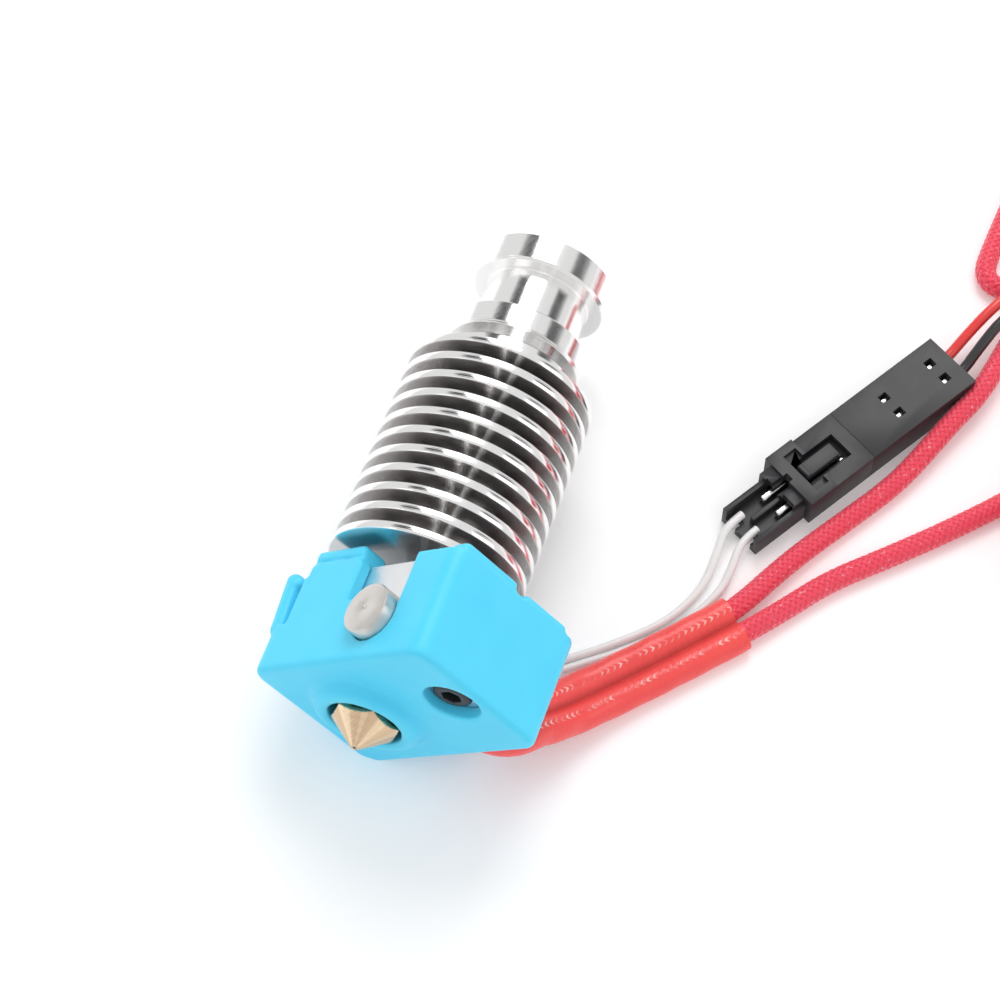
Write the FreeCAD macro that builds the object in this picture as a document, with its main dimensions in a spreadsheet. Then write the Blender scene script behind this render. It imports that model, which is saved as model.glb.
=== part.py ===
"""Filament hotend lying on its side: finned heat sink, hot block in a silicone sock, heater, thermistor, leads.

Units are millimetres. The frame has +Z up from the table and +Y along the filament axis, from the nozzle
towards the tube end. The origin is the centre of the mounting groove, on the filament axis.
Hot-end pieces are drawn upright about their own +Z and laid down by one placement; the connector's pieces
are drawn along their own +X and turned to where the connector lies.
"""
import FreeCAD, Part
import math
import os

import Sketcher

Vector = FreeCAD.Vector
Rotation = FreeCAD.Rotation
Placement = FreeCAD.Placement

# ---------------------------------------------------------------- driving dimensions
DIMENSIONS = [
    # heat sink, turned
    ("fin_radius", 11.0), ("fin_thick", 1.0), ("fin_pitch", 2.5), ("fin_count", 11),
    ("core_low_radius", 6.6), ("core_high_radius", 4.6),
    ("small_fin_radius", 8.0), ("small_fin_gap", 1.5), ("flange_radius", 8.0),
    ("low_flange_high", 3.0), ("groove_radius", 6.0), ("groove_high", 6.0), ("top_flange_high", 3.7),
    ("edge_break", 0.2),
    # filament path
    ("filament_bore_radius", 1.0), ("tube_radius", 2.0), ("tube_clearance", 0.05),
    ("tube_proud", 0.4), ("tube_seat_deep", 5.0),
    # push-fit collet
    ("collet_ring_radius", 4.0), ("collet_ring_high", 4.5), ("collet_bore_deep", 6.8),
    ("collet_stem_radius", 2.85), ("collet_stem_long", 5.0), ("collet_flange_radius", 3.7),
    ("collet_flange_high", 1.2), ("collet_travel", 1.0), ("running_clearance", 0.05),
    ("collet_slit_wide", 0.6),
    # heat break
    ("break_thread_radius", 3.5), ("break_thread_long", 10.0), ("neck_radius", 1.5), ("break_gap", 3.3),
    ("hot_thread_radius", 3.0), ("break_hot_long", 5.0), ("thread_clearance", 0.02),
    # heater block
    ("block_thermistor_end", 8.0), ("block_screw_end", 15.0), ("block_half_wide", 8.0),
    ("block_high", 11.5), ("slit_wide", 1.0),
    ("cartridge_radius", 3.0), ("cartridge_long", 20.0), ("cartridge_off", 7.4), ("cartridge_up", 4.0),
    ("cartridge_proud", 3.0), ("cartridge_wall", 0.4), ("dimple_radius", 0.35), ("end_plug_long", 2.5),
    ("bore_clearance", 0.02),
    ("clamp_off", 12.4), ("clamp_radius", 1.5), ("clamp_long", 8.0), ("clamp_head_radius", 2.2),
    ("clamp_head_high", 1.6), ("clamp_sink_deep", 0.9), ("clamp_hex_flat", 2.0), ("clamp_hex_deep", 1.1),
    ("thermistor_radius", 1.5), ("thermistor_long", 15.0), ("thermistor_off", 5.5),
    ("thermistor_up", 5.75), ("thermistor_wall", 0.25), ("bead_radius", 0.9), ("bead_long", 2.0),
    ("grub_radius", 1.5), ("grub_sunk", 0.2), ("grub_hex_flat", 1.5), ("grub_hex_deep", 1.5),
    # nozzle
    ("nozzle_gap", 0.7), ("nozzle_hex_flat", 7.0), ("nozzle_hex_high", 2.2), ("nozzle_cone_high", 3.0),
    ("nozzle_tip_radius", 0.5), ("orifice_radius", 0.2), ("orifice_long", 0.6),
    # silicone sock
    ("sock_end_wall", 1.6), ("sock_side_wall", 1.3), ("sock_floor", 1.5), ("sock_corner", 2.6),
    ("sock_boss_radius", 6.9), ("sock_boss_high", 1.0), ("sock_boss_round", 0.8),
    ("sock_nozzle_hole", 4.25), ("sock_screw_hole", 2.9), ("sock_notch_clearance", 0.15),
    ("sock_notch_widening", 1.1), ("sock_tab_high", 1.1), ("sock_tab_reach", 1.2),
    ("sock_tab_long", 6.2), ("sock_tab_between", 2.0), ("sock_lug_high", 2.1), ("sock_lug_reach", 2.3),
    ("sock_lug_long", 9.0), ("sock_rear_lug_long", 6.4), ("sock_slit_wide", 0.9), ("sock_slit_deep", 6.8),
    # leads
    ("heater_lead_radius", 1.15), ("heater_lead_pitch", 2.7), ("thermistor_lead_radius", 0.5),
    ("thermistor_lead_pitch", 1.1), ("extension_lead_radius", 0.65), ("sleeve_wall", 0.3),
    # two-way connector
    ("shroud_long", 9.8), ("shroud_half_wide", 3.5), ("shroud_high", 4.3), ("shroud_wall", 0.75),
    ("shroud_band_long", 4.0), ("shroud_band_proud", 0.25), ("shroud_back_wall", 1.4),
    ("terminal_part_long", 7.5), ("terminal_part_half_wide", 2.8), ("terminal_part_high", 2.9),
    ("terminal_part_wall", 0.6), ("way_pitch", 2.54), ("way_half_wide", 0.85), ("way_up", 1.9),
    ("socket_long", 15.3), ("nose_clearance", 0.08), ("nose_high", 2.35), ("joint_line_gap", 0.05),
    ("window_side", 1.15), ("window_deep", 1.1), ("window_far_inset", 1.7), ("window_spacing", 7.3),
    ("pin_half_wide", 0.32), ("pin_long", 10.2), ("crimp_half_wide", 0.7), ("crimp_long", 3.4),
    ("receptacle_long", 12.0), ("receptacle_half_wide", 0.8),
    ("latch_long", 5.0), ("latch_half_wide", 0.95), ("latch_thick", 1.0), ("latch_proud", 0.35),
    ("latch_root_radius", 0.5), ("latch_front_inset", 1.95), ("latch_window_margin", 0.75),
    # stored coils of the leads, with a band round each and a crimped ferrule at each end
    ("heater_coil_radius", 12.0), ("heater_coil_layers", 3), ("heater_coil_levels", 4),
    ("extension_coil_radius", 7.6), ("extension_coil_layers", 5), ("extension_coil_levels", 4),
    ("coil_slack", 0.1), ("band_thick", 0.35), ("band_wide", 3.0), ("band_clearance", 0.2),
    ("ferrule_collar_long", 6.0), ("ferrule_tube_long", 8.0), ("ferrule_tube_share", 0.6),
    ("ferrule_collar_proud", 0.35),
]

LIE_ANGLE = 42.6          # roll of the hot block about the filament axis, degrees from screw end level
CONNECTOR_X = 33.65       # middle of the connector's wide mouth on the table
CONNECTOR_Y = -6.05
CONNECTOR_TURN = 59.0     # heading of the connector's long axis, degrees from +X

doc = FreeCAD.newDocument("hotend_assembly")
sheet = doc.addObject("Spreadsheet::Sheet", "sizes")


class Size:
    """A length that knows its number and the spreadsheet expression that gives it."""

    def __init__(self, value, text):
        self.value = float(value)
        self.text = text

    def _join(self, other, sign, value):
        other = as_size(other)
        return Size(value(self.value, other.value), "(%s %s %s)" % (self.text, sign, other.text))

    def __add__(self, other):
        return self._join(other, "+", lambda a, b: a + b)

    def __sub__(self, other):
        return self._join(other, "-", lambda a, b: a - b)

    def __mul__(self, other):
        return self._join(other, "*", lambda a, b: a * b)

    def __truediv__(self, other):
        return self._join(other, "/", lambda a, b: a / b)

    def __neg__(self):
        return Size(-self.value, "(0 - %s)" % self.text)

    def __radd__(self, other):
        return as_size(other) + self

    def __rsub__(self, other):
        return as_size(other) - self

    def __rmul__(self, other):
        return as_size(other) * self


def as_size(number):
    """Wrap a plain number as a Size."""
    return number if isinstance(number, Size) else Size(number, repr(float(number)))


S = {}
for row, (alias, number) in enumerate(DIMENSIONS, start=1):
    sheet.set("A%d" % row, alias)
    sheet.set("B%d" % row, str(number))
    sheet.setAlias("B%d" % row, alias)
    S[alias] = Size(number, "sizes." + alias)
doc.recompute()

kept = {}                 # label of each sub-part -> its document object


def keep(obj, label, placement=None):
    """Name a finished sub-part and set where it stands."""
    obj.Label = label
    if placement is not None:
        obj.Placement = placement
    kept[label] = obj
    return obj


# ---------------------------------------------------------------- building helpers
def bind(obj, **sizes):
    """Bind properties of a document object to sizes."""
    for name, size in sizes.items():
        obj.setExpression(name.replace("__", "."), as_size(size).text)


def move(obj, x=0, y=0, z=0, turn=None):
    """Place a primitive at bound coordinates, with an optional fixed rotation."""
    if turn is not None:
        obj.Placement = Placement(Vector(), turn)
    bind(obj, Placement__Base__x=x, Placement__Base__y=y, Placement__Base__z=z)
    return obj


def box(name, x0, x1, y0, y1, z0, z1):
    """A box between two corners."""
    made = doc.addObject("Part::Box", name)
    bind(made, Length=x1 - as_size(x0), Width=y1 - as_size(y0), Height=z1 - as_size(z0))
    return move(made, x0, y0, z0)


ALONG = {"x": Rotation(Vector(0, 1, 0), 90), "y": Rotation(Vector(1, 0, 0), -90), "z": Rotation()}


def cylinder(name, radius, start, length, x=0, y=0, z=0, along="z"):
    """A cylinder along an axis, from start on that axis, at the other two coordinates."""
    made = doc.addObject("Part::Cylinder", name)
    bind(made, Radius=radius, Height=length)
    at = {"x": x, "y": y, "z": z}
    at[along] = start
    return move(made, at["x"], at["y"], at["z"], ALONG[along])


def hexagon(name, across_flats, z0, height, x=0, y=0):
    """An upright six-sided prism."""
    made = doc.addObject("Part::Prism", name)
    made.Polygon = 6
    bind(made, Circumradius=across_flats / (2 * math.cos(math.pi / 6)), Height=height)
    return move(made, x, y, z0)


def fuse(name, pieces):
    """Join several shapes into one."""
    made = doc.addObject("Part::MultiFuse", name)
    made.Shapes = pieces
    made.Refine = True
    return made


def cut(name, base, tools):
    """Cut one or more shapes from a base."""
    made = doc.addObject("Part::Cut", name)
    made.Base = base
    made.Tool = tools[0] if len(tools) == 1 else fuse(name + "_tools", tools)
    made.Refine = True
    return made


def turned_body(name, outline):
    """A PartDesign body turned about its own Z from a closed outline of (radius, height) sizes."""
    body = doc.addObject("PartDesign::Body", name)
    sketch = body.newObject("Sketcher::SketchObject", name + "_outline")
    plane = [f for f in body.Origin.OriginFeatures if f.Role == "XZ_Plane"][0]
    sketch.AttachmentSupport = [(plane, "")]
    sketch.MapMode = "FlatFace"
    corners = [(as_size(r), as_size(h)) for r, h in outline]
    count = len(corners)
    for i in range(count):
        (r0, h0), (r1, h1) = corners[i], corners[(i + 1) % count]
        edge = Part.LineSegment(Vector(r0.value, h0.value, 0), Vector(r1.value, h1.value, 0))
        sketch.addGeometry(edge, False)
    for i in range(count):
        sketch.addConstraint(Sketcher.Constraint("Coincident", i, 2, (i + 1) % count, 1))
    for i, (r, h) in enumerate(corners):
        for kind, size in (("DistanceX", r), ("DistanceY", h)):
            index = sketch.addConstraint(Sketcher.Constraint(kind, -1, 1, i, 1, size.value))
            label = "%s%d" % (kind, i)
            sketch.renameConstraint(index, label)
            sketch.setExpression("Constraints." + label, size.text)
    turned = body.newObject("PartDesign::Revolution", name + "_turned")
    turned.Profile = sketch
    turned.ReferenceAxis = (sketch, ["V_Axis"])
    turned.Angle = 360
    body.Tip = turned
    return body


# ---------------------------------------------------------------- heights along the filament axis
groove_top = S["groove_high"] / 2
groove_low = -groove_top
sink_top = groove_top + S["top_flange_high"]
low_flange_low = groove_low - S["low_flange_high"]
small_fin_low = low_flange_low - S["small_fin_gap"] - S["fin_thick"]
stack_top = small_fin_low - S["small_fin_gap"]
sink_low = stack_top - S["fin_pitch"] * (S["fin_count"] - 1) - S["fin_thick"]
block_top = sink_low - S["break_gap"]
block_low = block_top - S["block_high"]
sock_low = block_low - S["sock_floor"]
break_top = sink_low + S["break_thread_long"]
break_low = block_top - S["break_hot_long"]
tube_low = break_top - S["tube_seat_deep"]
hex_top = block_low - S["nozzle_gap"]
hex_low = hex_top - S["nozzle_hex_high"]
tip_low = hex_low - S["nozzle_cone_high"]
cartridge_z = block_low + S["cartridge_up"]
thermistor_z = block_low + S["thermistor_up"]

# how deep the sock's rounded low corner stands below the filament axis: the table
lie = math.radians(LIE_ANGLE)
corner = S["sock_corner"].value
end_out = S["block_thermistor_end"].value + S["sock_end_wall"].value
side_out = S["block_half_wide"].value + S["sock_side_wall"].value
corner_deep = (end_out - corner) * math.sin(lie) + (side_out - corner) * math.cos(lie) + corner
FLOOR = -max(corner_deep, S["fin_radius"].value)

LAID = Placement(Vector(), Rotation(Vector(0, 1, 0), -LIE_ANGLE) * Rotation(Vector(1, 0, 0), -90))
CONNECTOR = Placement(Vector(CONNECTOR_X, CONNECTOR_Y, FLOOR), Rotation(Vector(0, 0, 1), CONNECTOR_TURN))


# ---------------------------------------------------------------- heat sink and filament path
def heat_sink():
    """Turned aluminium heat sink: tapered core, one fin patterned up the stack, groove between flanges."""
    flange, edge = S["flange_radius"], S["edge_break"]
    body = turned_body("heat_sink", [
        (0, sink_low), (S["core_low_radius"], sink_low), (S["core_high_radius"], small_fin_low),
        (S["small_fin_radius"], small_fin_low), (S["small_fin_radius"], small_fin_low + S["fin_thick"]),
        (S["core_high_radius"], small_fin_low + S["fin_thick"]), (S["core_high_radius"], low_flange_low),
        (flange - edge, low_flange_low), (flange, low_flange_low + edge), (flange, groove_low - edge),
        (flange - edge, groove_low), (S["groove_radius"], groove_low), (S["groove_radius"], groove_top),
        (flange - edge, groove_top), (flange, groove_top + edge), (flange, sink_top - edge),
        (flange - edge, sink_top), (0, sink_top)])
    plane = [f for f in body.Origin.OriginFeatures if f.Role == "XY_Plane"][0]

    def disc(name, radius, height):
        sketch = body.newObject("Sketcher::SketchObject", name)
        sketch.AttachmentSupport = [(plane, "")]
        sketch.MapMode = "FlatFace"
        sketch.setExpression("AttachmentOffset.Base.z", height.text)
        sketch.addGeometry(Part.Circle(Vector(), Vector(0, 0, 1), radius.value), False)
        sketch.addConstraint(Sketcher.Constraint("Coincident", 0, 3, -1, 1))
        index = sketch.addConstraint(Sketcher.Constraint("Radius", 0, radius.value))
        sketch.renameConstraint(index, "wide")
        sketch.setExpression("Constraints.wide", radius.text)
        return sketch

    fin = body.newObject("PartDesign::Pad", "fin")
    fin.Profile = disc("fin_outline", S["fin_radius"], sink_low)
    fin.setExpression("Length", S["fin_thick"].text)
    stack = body.newObject("PartDesign::LinearPattern", "fin_stack")
    stack.Originals = [fin]
    stack.Direction = ([f for f in body.Origin.OriginFeatures if f.Role == "Z_Axis"][0], [""])
    stack.setExpression("Length", (S["fin_pitch"] * (S["fin_count"] - 1)).text)
    stack.setExpression("Occurrences", S["fin_count"].text)
    body.Tip = stack
    doc.recompute()
    for name, radius, height, deep, up in (
            ("collet_bore", S["collet_ring_radius"], sink_top, S["collet_bore_deep"], False),
            ("tube_bore", S["tube_radius"] + S["tube_clearance"], sink_top, sink_top - sink_low, False),
            ("break_bore", S["break_thread_radius"], sink_low, S["break_thread_long"], True)):
        before = body.Shape.Volume
        bore = body.newObject("PartDesign::Pocket", name)
        bore.Profile = disc(name + "_outline", radius, height)
        bore.setExpression("Length", deep.text)
        bore.Reversed = up
        body.Tip = bore
        doc.recompute()
        if body.Shape.Volume >= before - 1:
            raise RuntimeError("the %s cut nothing" % name)
    keep(body, "heat_sink", LAID)


def collet_and_tube():
    """Brass ring pressed into the top, the sliding collet in it, and the liner tube through both."""
    stem_hole = S["collet_stem_radius"] + S["running_clearance"]
    ring_low = sink_top - S["collet_ring_high"]
    ring = turned_body("collet_ring", [
        (stem_hole, ring_low), (S["collet_ring_radius"], ring_low),
        (S["collet_ring_radius"], sink_top), (stem_hole, sink_top)])
    keep(ring, "collet_ring", LAID)

    tube_hole = S["tube_radius"] + S["tube_clearance"]
    flange_low = sink_top + S["collet_travel"]
    flange_top = flange_low + S["collet_flange_high"]
    stem_low = flange_low - S["collet_stem_long"]
    turned = turned_body("collet_turned", [
        (tube_hole, stem_low), (S["collet_stem_radius"], stem_low), (S["collet_stem_radius"], flange_low),
        (S["collet_flange_radius"], flange_low), (S["collet_flange_radius"], flange_top), (tube_hole, flange_top)])
    half = S["collet_slit_wide"] / 2
    wide = S["collet_stem_radius"] * 2
    slit_top = stem_low + S["collet_stem_long"] * 0.6
    slits = [box("collet_slit_x", -wide, wide, -half, half, stem_low - 1, slit_top),
             box("collet_slit_y", -half, half, -wide, wide, stem_low - 1, slit_top)]
    keep(cut("collet", turned, slits), "collet", LAID)

    tube = turned_body("liner_tube", [
        (S["filament_bore_radius"], tube_low), (S["tube_radius"], tube_low),
        (S["tube_radius"], flange_top + S["tube_proud"]),
        (S["filament_bore_radius"], flange_top + S["tube_proud"])])
    keep(tube, "liner_tube", LAID)


def heat_break():
    """Threaded both ends with a thin neck between; the tube seats in a counterbore in its top."""
    cold, hot, clear = S["break_thread_radius"], S["hot_thread_radius"], S["thread_clearance"]
    bore, seat = S["filament_bore_radius"], S["tube_radius"] + S["tube_clearance"]
    keep(turned_body("heat_break", [
        (bore, break_low), (hot - clear, break_low), (hot - clear, block_top), (S["neck_radius"], block_top),
        (S["neck_radius"], sink_low), (cold - clear, sink_low), (cold - clear, break_top),
        (seat, break_top), (seat, tube_low), (bore, tube_low)]), "heat_break", LAID)


# ---------------------------------------------------------------- hot side
def nozzle():
    """Brass nozzle: threaded shank, hexagon, cone and a fine orifice."""
    shank = S["hot_thread_radius"] - S["thread_clearance"]
    wide = S["nozzle_hex_flat"] / (2 * math.cos(math.pi / 6))
    bore_low = tip_low + S["orifice_long"]
    turned = turned_body("nozzle_turned", [
        (S["filament_bore_radius"], break_low), (shank, break_low), (shank, hex_top), (wide, hex_top),
        (wide, hex_low), (S["nozzle_tip_radius"], tip_low), (S["orifice_radius"], tip_low),
        (S["orifice_radius"], bore_low), (S["filament_bore_radius"], bore_low + 1)])
    blank = hexagon("nozzle_hex", S["nozzle_hex_flat"], tip_low - 1, break_low - tip_low + 2)
    made = doc.addObject("Part::Common", "nozzle")
    made.Base = turned
    made.Tool = blank
    keep(made, "nozzle", LAID)


def heater_block():
    """Aluminium block: filament bore, heater bore with its clamping slit, thermistor bore, screw holes."""
    half = S["block_half_wide"]
    solid = box("block_blank", -S["block_thermistor_end"], S["block_screw_end"], -half, half, block_low, block_top)
    clear = S["bore_clearance"]
    through = half * 2 + 2
    tools = [
        cylinder("block_filament_bore", S["hot_thread_radius"], block_low - 1, S["block_high"] + 2),
        cylinder("block_heater_bore", S["cartridge_radius"] + clear, -half - 1, through,
                 x=S["cartridge_off"], z=cartridge_z, along="y"),
        box("block_slit", S["cartridge_off"], S["block_screw_end"] + 1, -half - 1, half + 1,
            cartridge_z - S["slit_wide"] / 2, cartridge_z + S["slit_wide"] / 2),
        cylinder("block_thermistor_bore", S["thermistor_radius"] + clear, half - S["thermistor_long"],
                 S["thermistor_long"] + 1, x=-S["thermistor_off"], z=thermistor_z, along="y"),
        cylinder("block_clamp_hole", S["clamp_radius"] + clear, block_low - 1, S["block_high"] + 2, x=S["clamp_off"]),
        cylinder("block_clamp_sink", S["clamp_head_radius"] + clear, block_low - 1, S["clamp_sink_deep"] + 1,
                 x=S["clamp_off"]),
        cylinder("block_grub_hole", S["grub_radius"] + clear, block_low - 1, S["thermistor_up"] + 1,
                 x=-S["thermistor_off"])]
    keep(cut("heater_block", solid, tools), "heater_block", LAID)


def block_screws():
    """The clamping screw through the slit, and the grub screw that holds the thermistor."""
    head_low = block_low + S["clamp_sink_deep"] - S["clamp_head_high"]
    head = cylinder("clamp_head", S["clamp_head_radius"], head_low, S["clamp_head_high"], x=S["clamp_off"])
    shank = cylinder("clamp_shank", S["clamp_radius"], head_low, S["clamp_head_high"] + S["clamp_long"],
                     x=S["clamp_off"])
    socket = hexagon("clamp_socket", S["clamp_hex_flat"], head_low - 1, S["clamp_hex_deep"] + 1, x=S["clamp_off"])
    keep(cut("clamp_screw", fuse("clamp_solid", [head, shank]), [socket]), "clamp_screw", LAID)

    low = block_low + S["grub_sunk"]
    high = thermistor_z - S["thermistor_radius"] - S["bore_clearance"]
    grub = cylinder("grub_solid", S["grub_radius"], low, high - low, x=-S["thermistor_off"])
    socket = hexagon("grub_socket", S["grub_hex_flat"], low - 1, S["grub_hex_deep"] + 1, x=-S["thermistor_off"])
    keep(cut("thermistor_grub_screw", grub, [socket]), "thermistor_grub_screw", LAID)


cartridge_front = -S["block_half_wide"] - S["cartridge_proud"]
cartridge_back = cartridge_front + S["cartridge_long"]
thermistor_front = S["block_half_wide"] - S["thermistor_long"]


def heater_cartridge():
    """Steel shell closed at the front, a ceramic core in it, and the plug that the leads come out of."""
    x, z, wall = S["cartridge_off"], cartridge_z, S["cartridge_wall"]
    inner = S["cartridge_radius"] - wall
    shell = cylinder("shell_solid", S["cartridge_radius"], cartridge_front, S["cartridge_long"], x=x, z=z, along="y")
    hollow = cylinder("shell_hollow", inner, cartridge_front + wall * 3, S["cartridge_long"], x=x, z=z, along="y")
    dimple = cylinder("shell_dimple", S["dimple_radius"], cartridge_front - 1, as_size(1.3), x=x, z=z, along="y")
    keep(cut("cartridge_shell", shell, [hollow, dimple]), "cartridge_shell", LAID)
    core_long = S["cartridge_long"] - wall * 3 - S["end_plug_long"]
    core = cylinder("core_solid", inner, cartridge_front + wall * 3, core_long, x=x, z=z, along="y")
    eye = cylinder("core_eye", S["dimple_radius"], cartridge_front, S["cartridge_long"], x=x, z=z, along="y")
    keep(cut("cartridge_core", core, [eye]), "cartridge_core", LAID)
    plug_start = cartridge_back - S["end_plug_long"]
    plug = cylinder("end_plug_solid", inner, plug_start, S["end_plug_long"] - 0.3, x=x, z=z, along="y")
    rim = cylinder("end_plug_rim", inner - 0.15, plug_start, S["end_plug_long"], x=x, z=z, along="y")
    keep(fuse("cartridge_end_plug", [plug, rim]), "cartridge_end_plug", LAID)


def thermistor():
    """Thin steel sleeve with the glass bead of the thermistor inside it."""
    x, z = -S["thermistor_off"], thermistor_z
    inner = S["thermistor_radius"] - S["thermistor_wall"]
    solid = cylinder("sleeve_solid", S["thermistor_radius"], thermistor_front, S["thermistor_long"],
                     x=x, z=z, along="y")
    hollow = cylinder("sleeve_hollow", inner, thermistor_front + S["thermistor_wall"] * 2, S["thermistor_long"],
                      x=x, z=z, along="y")
    keep(cut("thermistor_sleeve", solid, [hollow]), "thermistor_sleeve", LAID)
    bottom = thermistor_front + S["thermistor_wall"] * 2
    potting_long = S["thermistor_long"] - S["thermistor_wall"] * 2 - S["bead_long"]
    potting = cylinder("potting_solid", inner, bottom + S["bead_long"], potting_long - 0.2, x=x, z=z, along="y")
    cap = cylinder("potting_cap", inner - 0.15, bottom + S["bead_long"], potting_long, x=x, z=z, along="y")
    keep(fuse("thermistor_potting", [potting, cap]), "thermistor_potting", LAID)
    bead = cylinder("bead_solid", S["bead_radius"], bottom + 0.3, S["bead_long"] - 0.6, x=x, z=z, along="y")
    tip = cylinder("bead_tip", S["bead_radius"] * 0.7, bottom, S["bead_long"], x=x, z=z, along="y")
    keep(fuse("thermistor_bead", [bead, tip]), "thermistor_bead", LAID)


# ---------------------------------------------------------------- silicone sock
def silicone_sock():
    """Moulded cover round the block: open top with gripping lips, boss round the nozzle, notches for leads."""
    half = S["block_half_wide"]
    x0, x1 = -S["block_thermistor_end"] - S["sock_end_wall"], S["block_screw_end"] + S["sock_end_wall"]
    y0, y1 = -half - S["sock_side_wall"], half + S["sock_side_wall"]
    outer = box("sock_blank", x0, x1, y0, y1, sock_low, block_top)
    doc.recompute()
    upright = [i + 1 for i, edge in enumerate(outer.Shape.Edges) if abs(edge.tangentAt(0).z) > 0.9]
    rounded = doc.addObject("Part::Fillet", "sock_rounded")
    rounded.Base = outer
    rounded.Edges = [(i, corner, corner) for i in upright]

    boss_low = sock_low - S["sock_boss_high"]
    round_ = S["sock_boss_round"]
    boss = turned_body("sock_boss", [
        (0, boss_low), (S["sock_boss_radius"] - round_ * 1.6, boss_low), (S["sock_boss_radius"] - round_, boss_low + 0.25),
        (S["sock_boss_radius"], sock_low), (S["sock_boss_radius"], sock_low + 0.5), (0, sock_low + 0.5)])

    lip_top = block_top + S["sock_tab_high"]
    first = -half + 0.2
    second = first + S["sock_tab_long"] + S["sock_tab_between"]
    inside = S["block_screw_end"] - S["sock_tab_reach"]
    lug_x0 = S["cartridge_off"] - S["cartridge_radius"] - S["sock_notch_widening"] - S["sock_lug_long"]
    rear_x0 = -S["thermistor_off"] + S["thermistor_radius"] + 0.5
    lug_top = block_top + S["sock_lug_high"]
    lips = [
        box("sock_tab_one", inside, x1 - 0.3, first, first + S["sock_tab_long"], block_top, lip_top),
        box("sock_tab_two", inside, x1 - 0.3, second, second + S["sock_tab_long"], block_top, lip_top),
        box("sock_front_lug", lug_x0, lug_x0 + S["sock_lug_long"], y0, -half + S["sock_lug_reach"], block_top, lug_top),
        box("sock_rear_lug", rear_x0, rear_x0 + S["sock_rear_lug_long"], half - S["sock_lug_reach"], y1,
            block_top, lug_top)]
    solid = fuse("sock_solid", [rounded, boss] + lips)

    notch = S["cartridge_radius"] + S["sock_notch_clearance"]
    therm_notch = S["thermistor_radius"] + S["sock_notch_clearance"]
    above = block_top + 5
    tools = [
        box("sock_hollow", -S["block_thermistor_end"], S["block_screw_end"], -half, half, block_low, block_top),
        cylinder("sock_nozzle_opening", S["sock_nozzle_hole"], boss_low - 1, S["sock_boss_high"] + S["sock_floor"] + 2),
        cylinder("sock_screw_opening", S["sock_screw_hole"], sock_low - 1, S["sock_floor"] + 2, x=S["clamp_off"]),
        cylinder("sock_front_round", notch, y0 - 1, S["sock_side_wall"] + 1, x=S["cartridge_off"], z=cartridge_z,
                 along="y"),
        box("sock_front_notch", S["cartridge_off"] - notch - S["sock_notch_widening"] + 0.15, S["cartridge_off"] + notch,
            y0 - 1, -half, cartridge_z, above),
        cylinder("sock_rear_round", notch, half, S["sock_side_wall"] + 1, x=S["cartridge_off"], z=cartridge_z,
                 along="y"),
        box("sock_rear_notch", S["cartridge_off"] - notch, S["cartridge_off"] + notch, half, y1 + 1, cartridge_z, above),
        cylinder("sock_thermistor_round", therm_notch, half, S["sock_side_wall"] + 1, x=-S["thermistor_off"],
                 z=thermistor_z, along="y"),
        box("sock_thermistor_notch", -S["thermistor_off"] - therm_notch, -S["thermistor_off"] + therm_notch,
            half, y1 + 1, thermistor_z, above),
        box("sock_corner_slit", -S["block_thermistor_end"], -S["block_thermistor_end"] + S["sock_slit_wide"], y0 - 1, -half,
            block_top - S["sock_slit_deep"], above)]
    keep(cut("silicone_sock", solid, tools), "silicone_sock", LAID)


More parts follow.
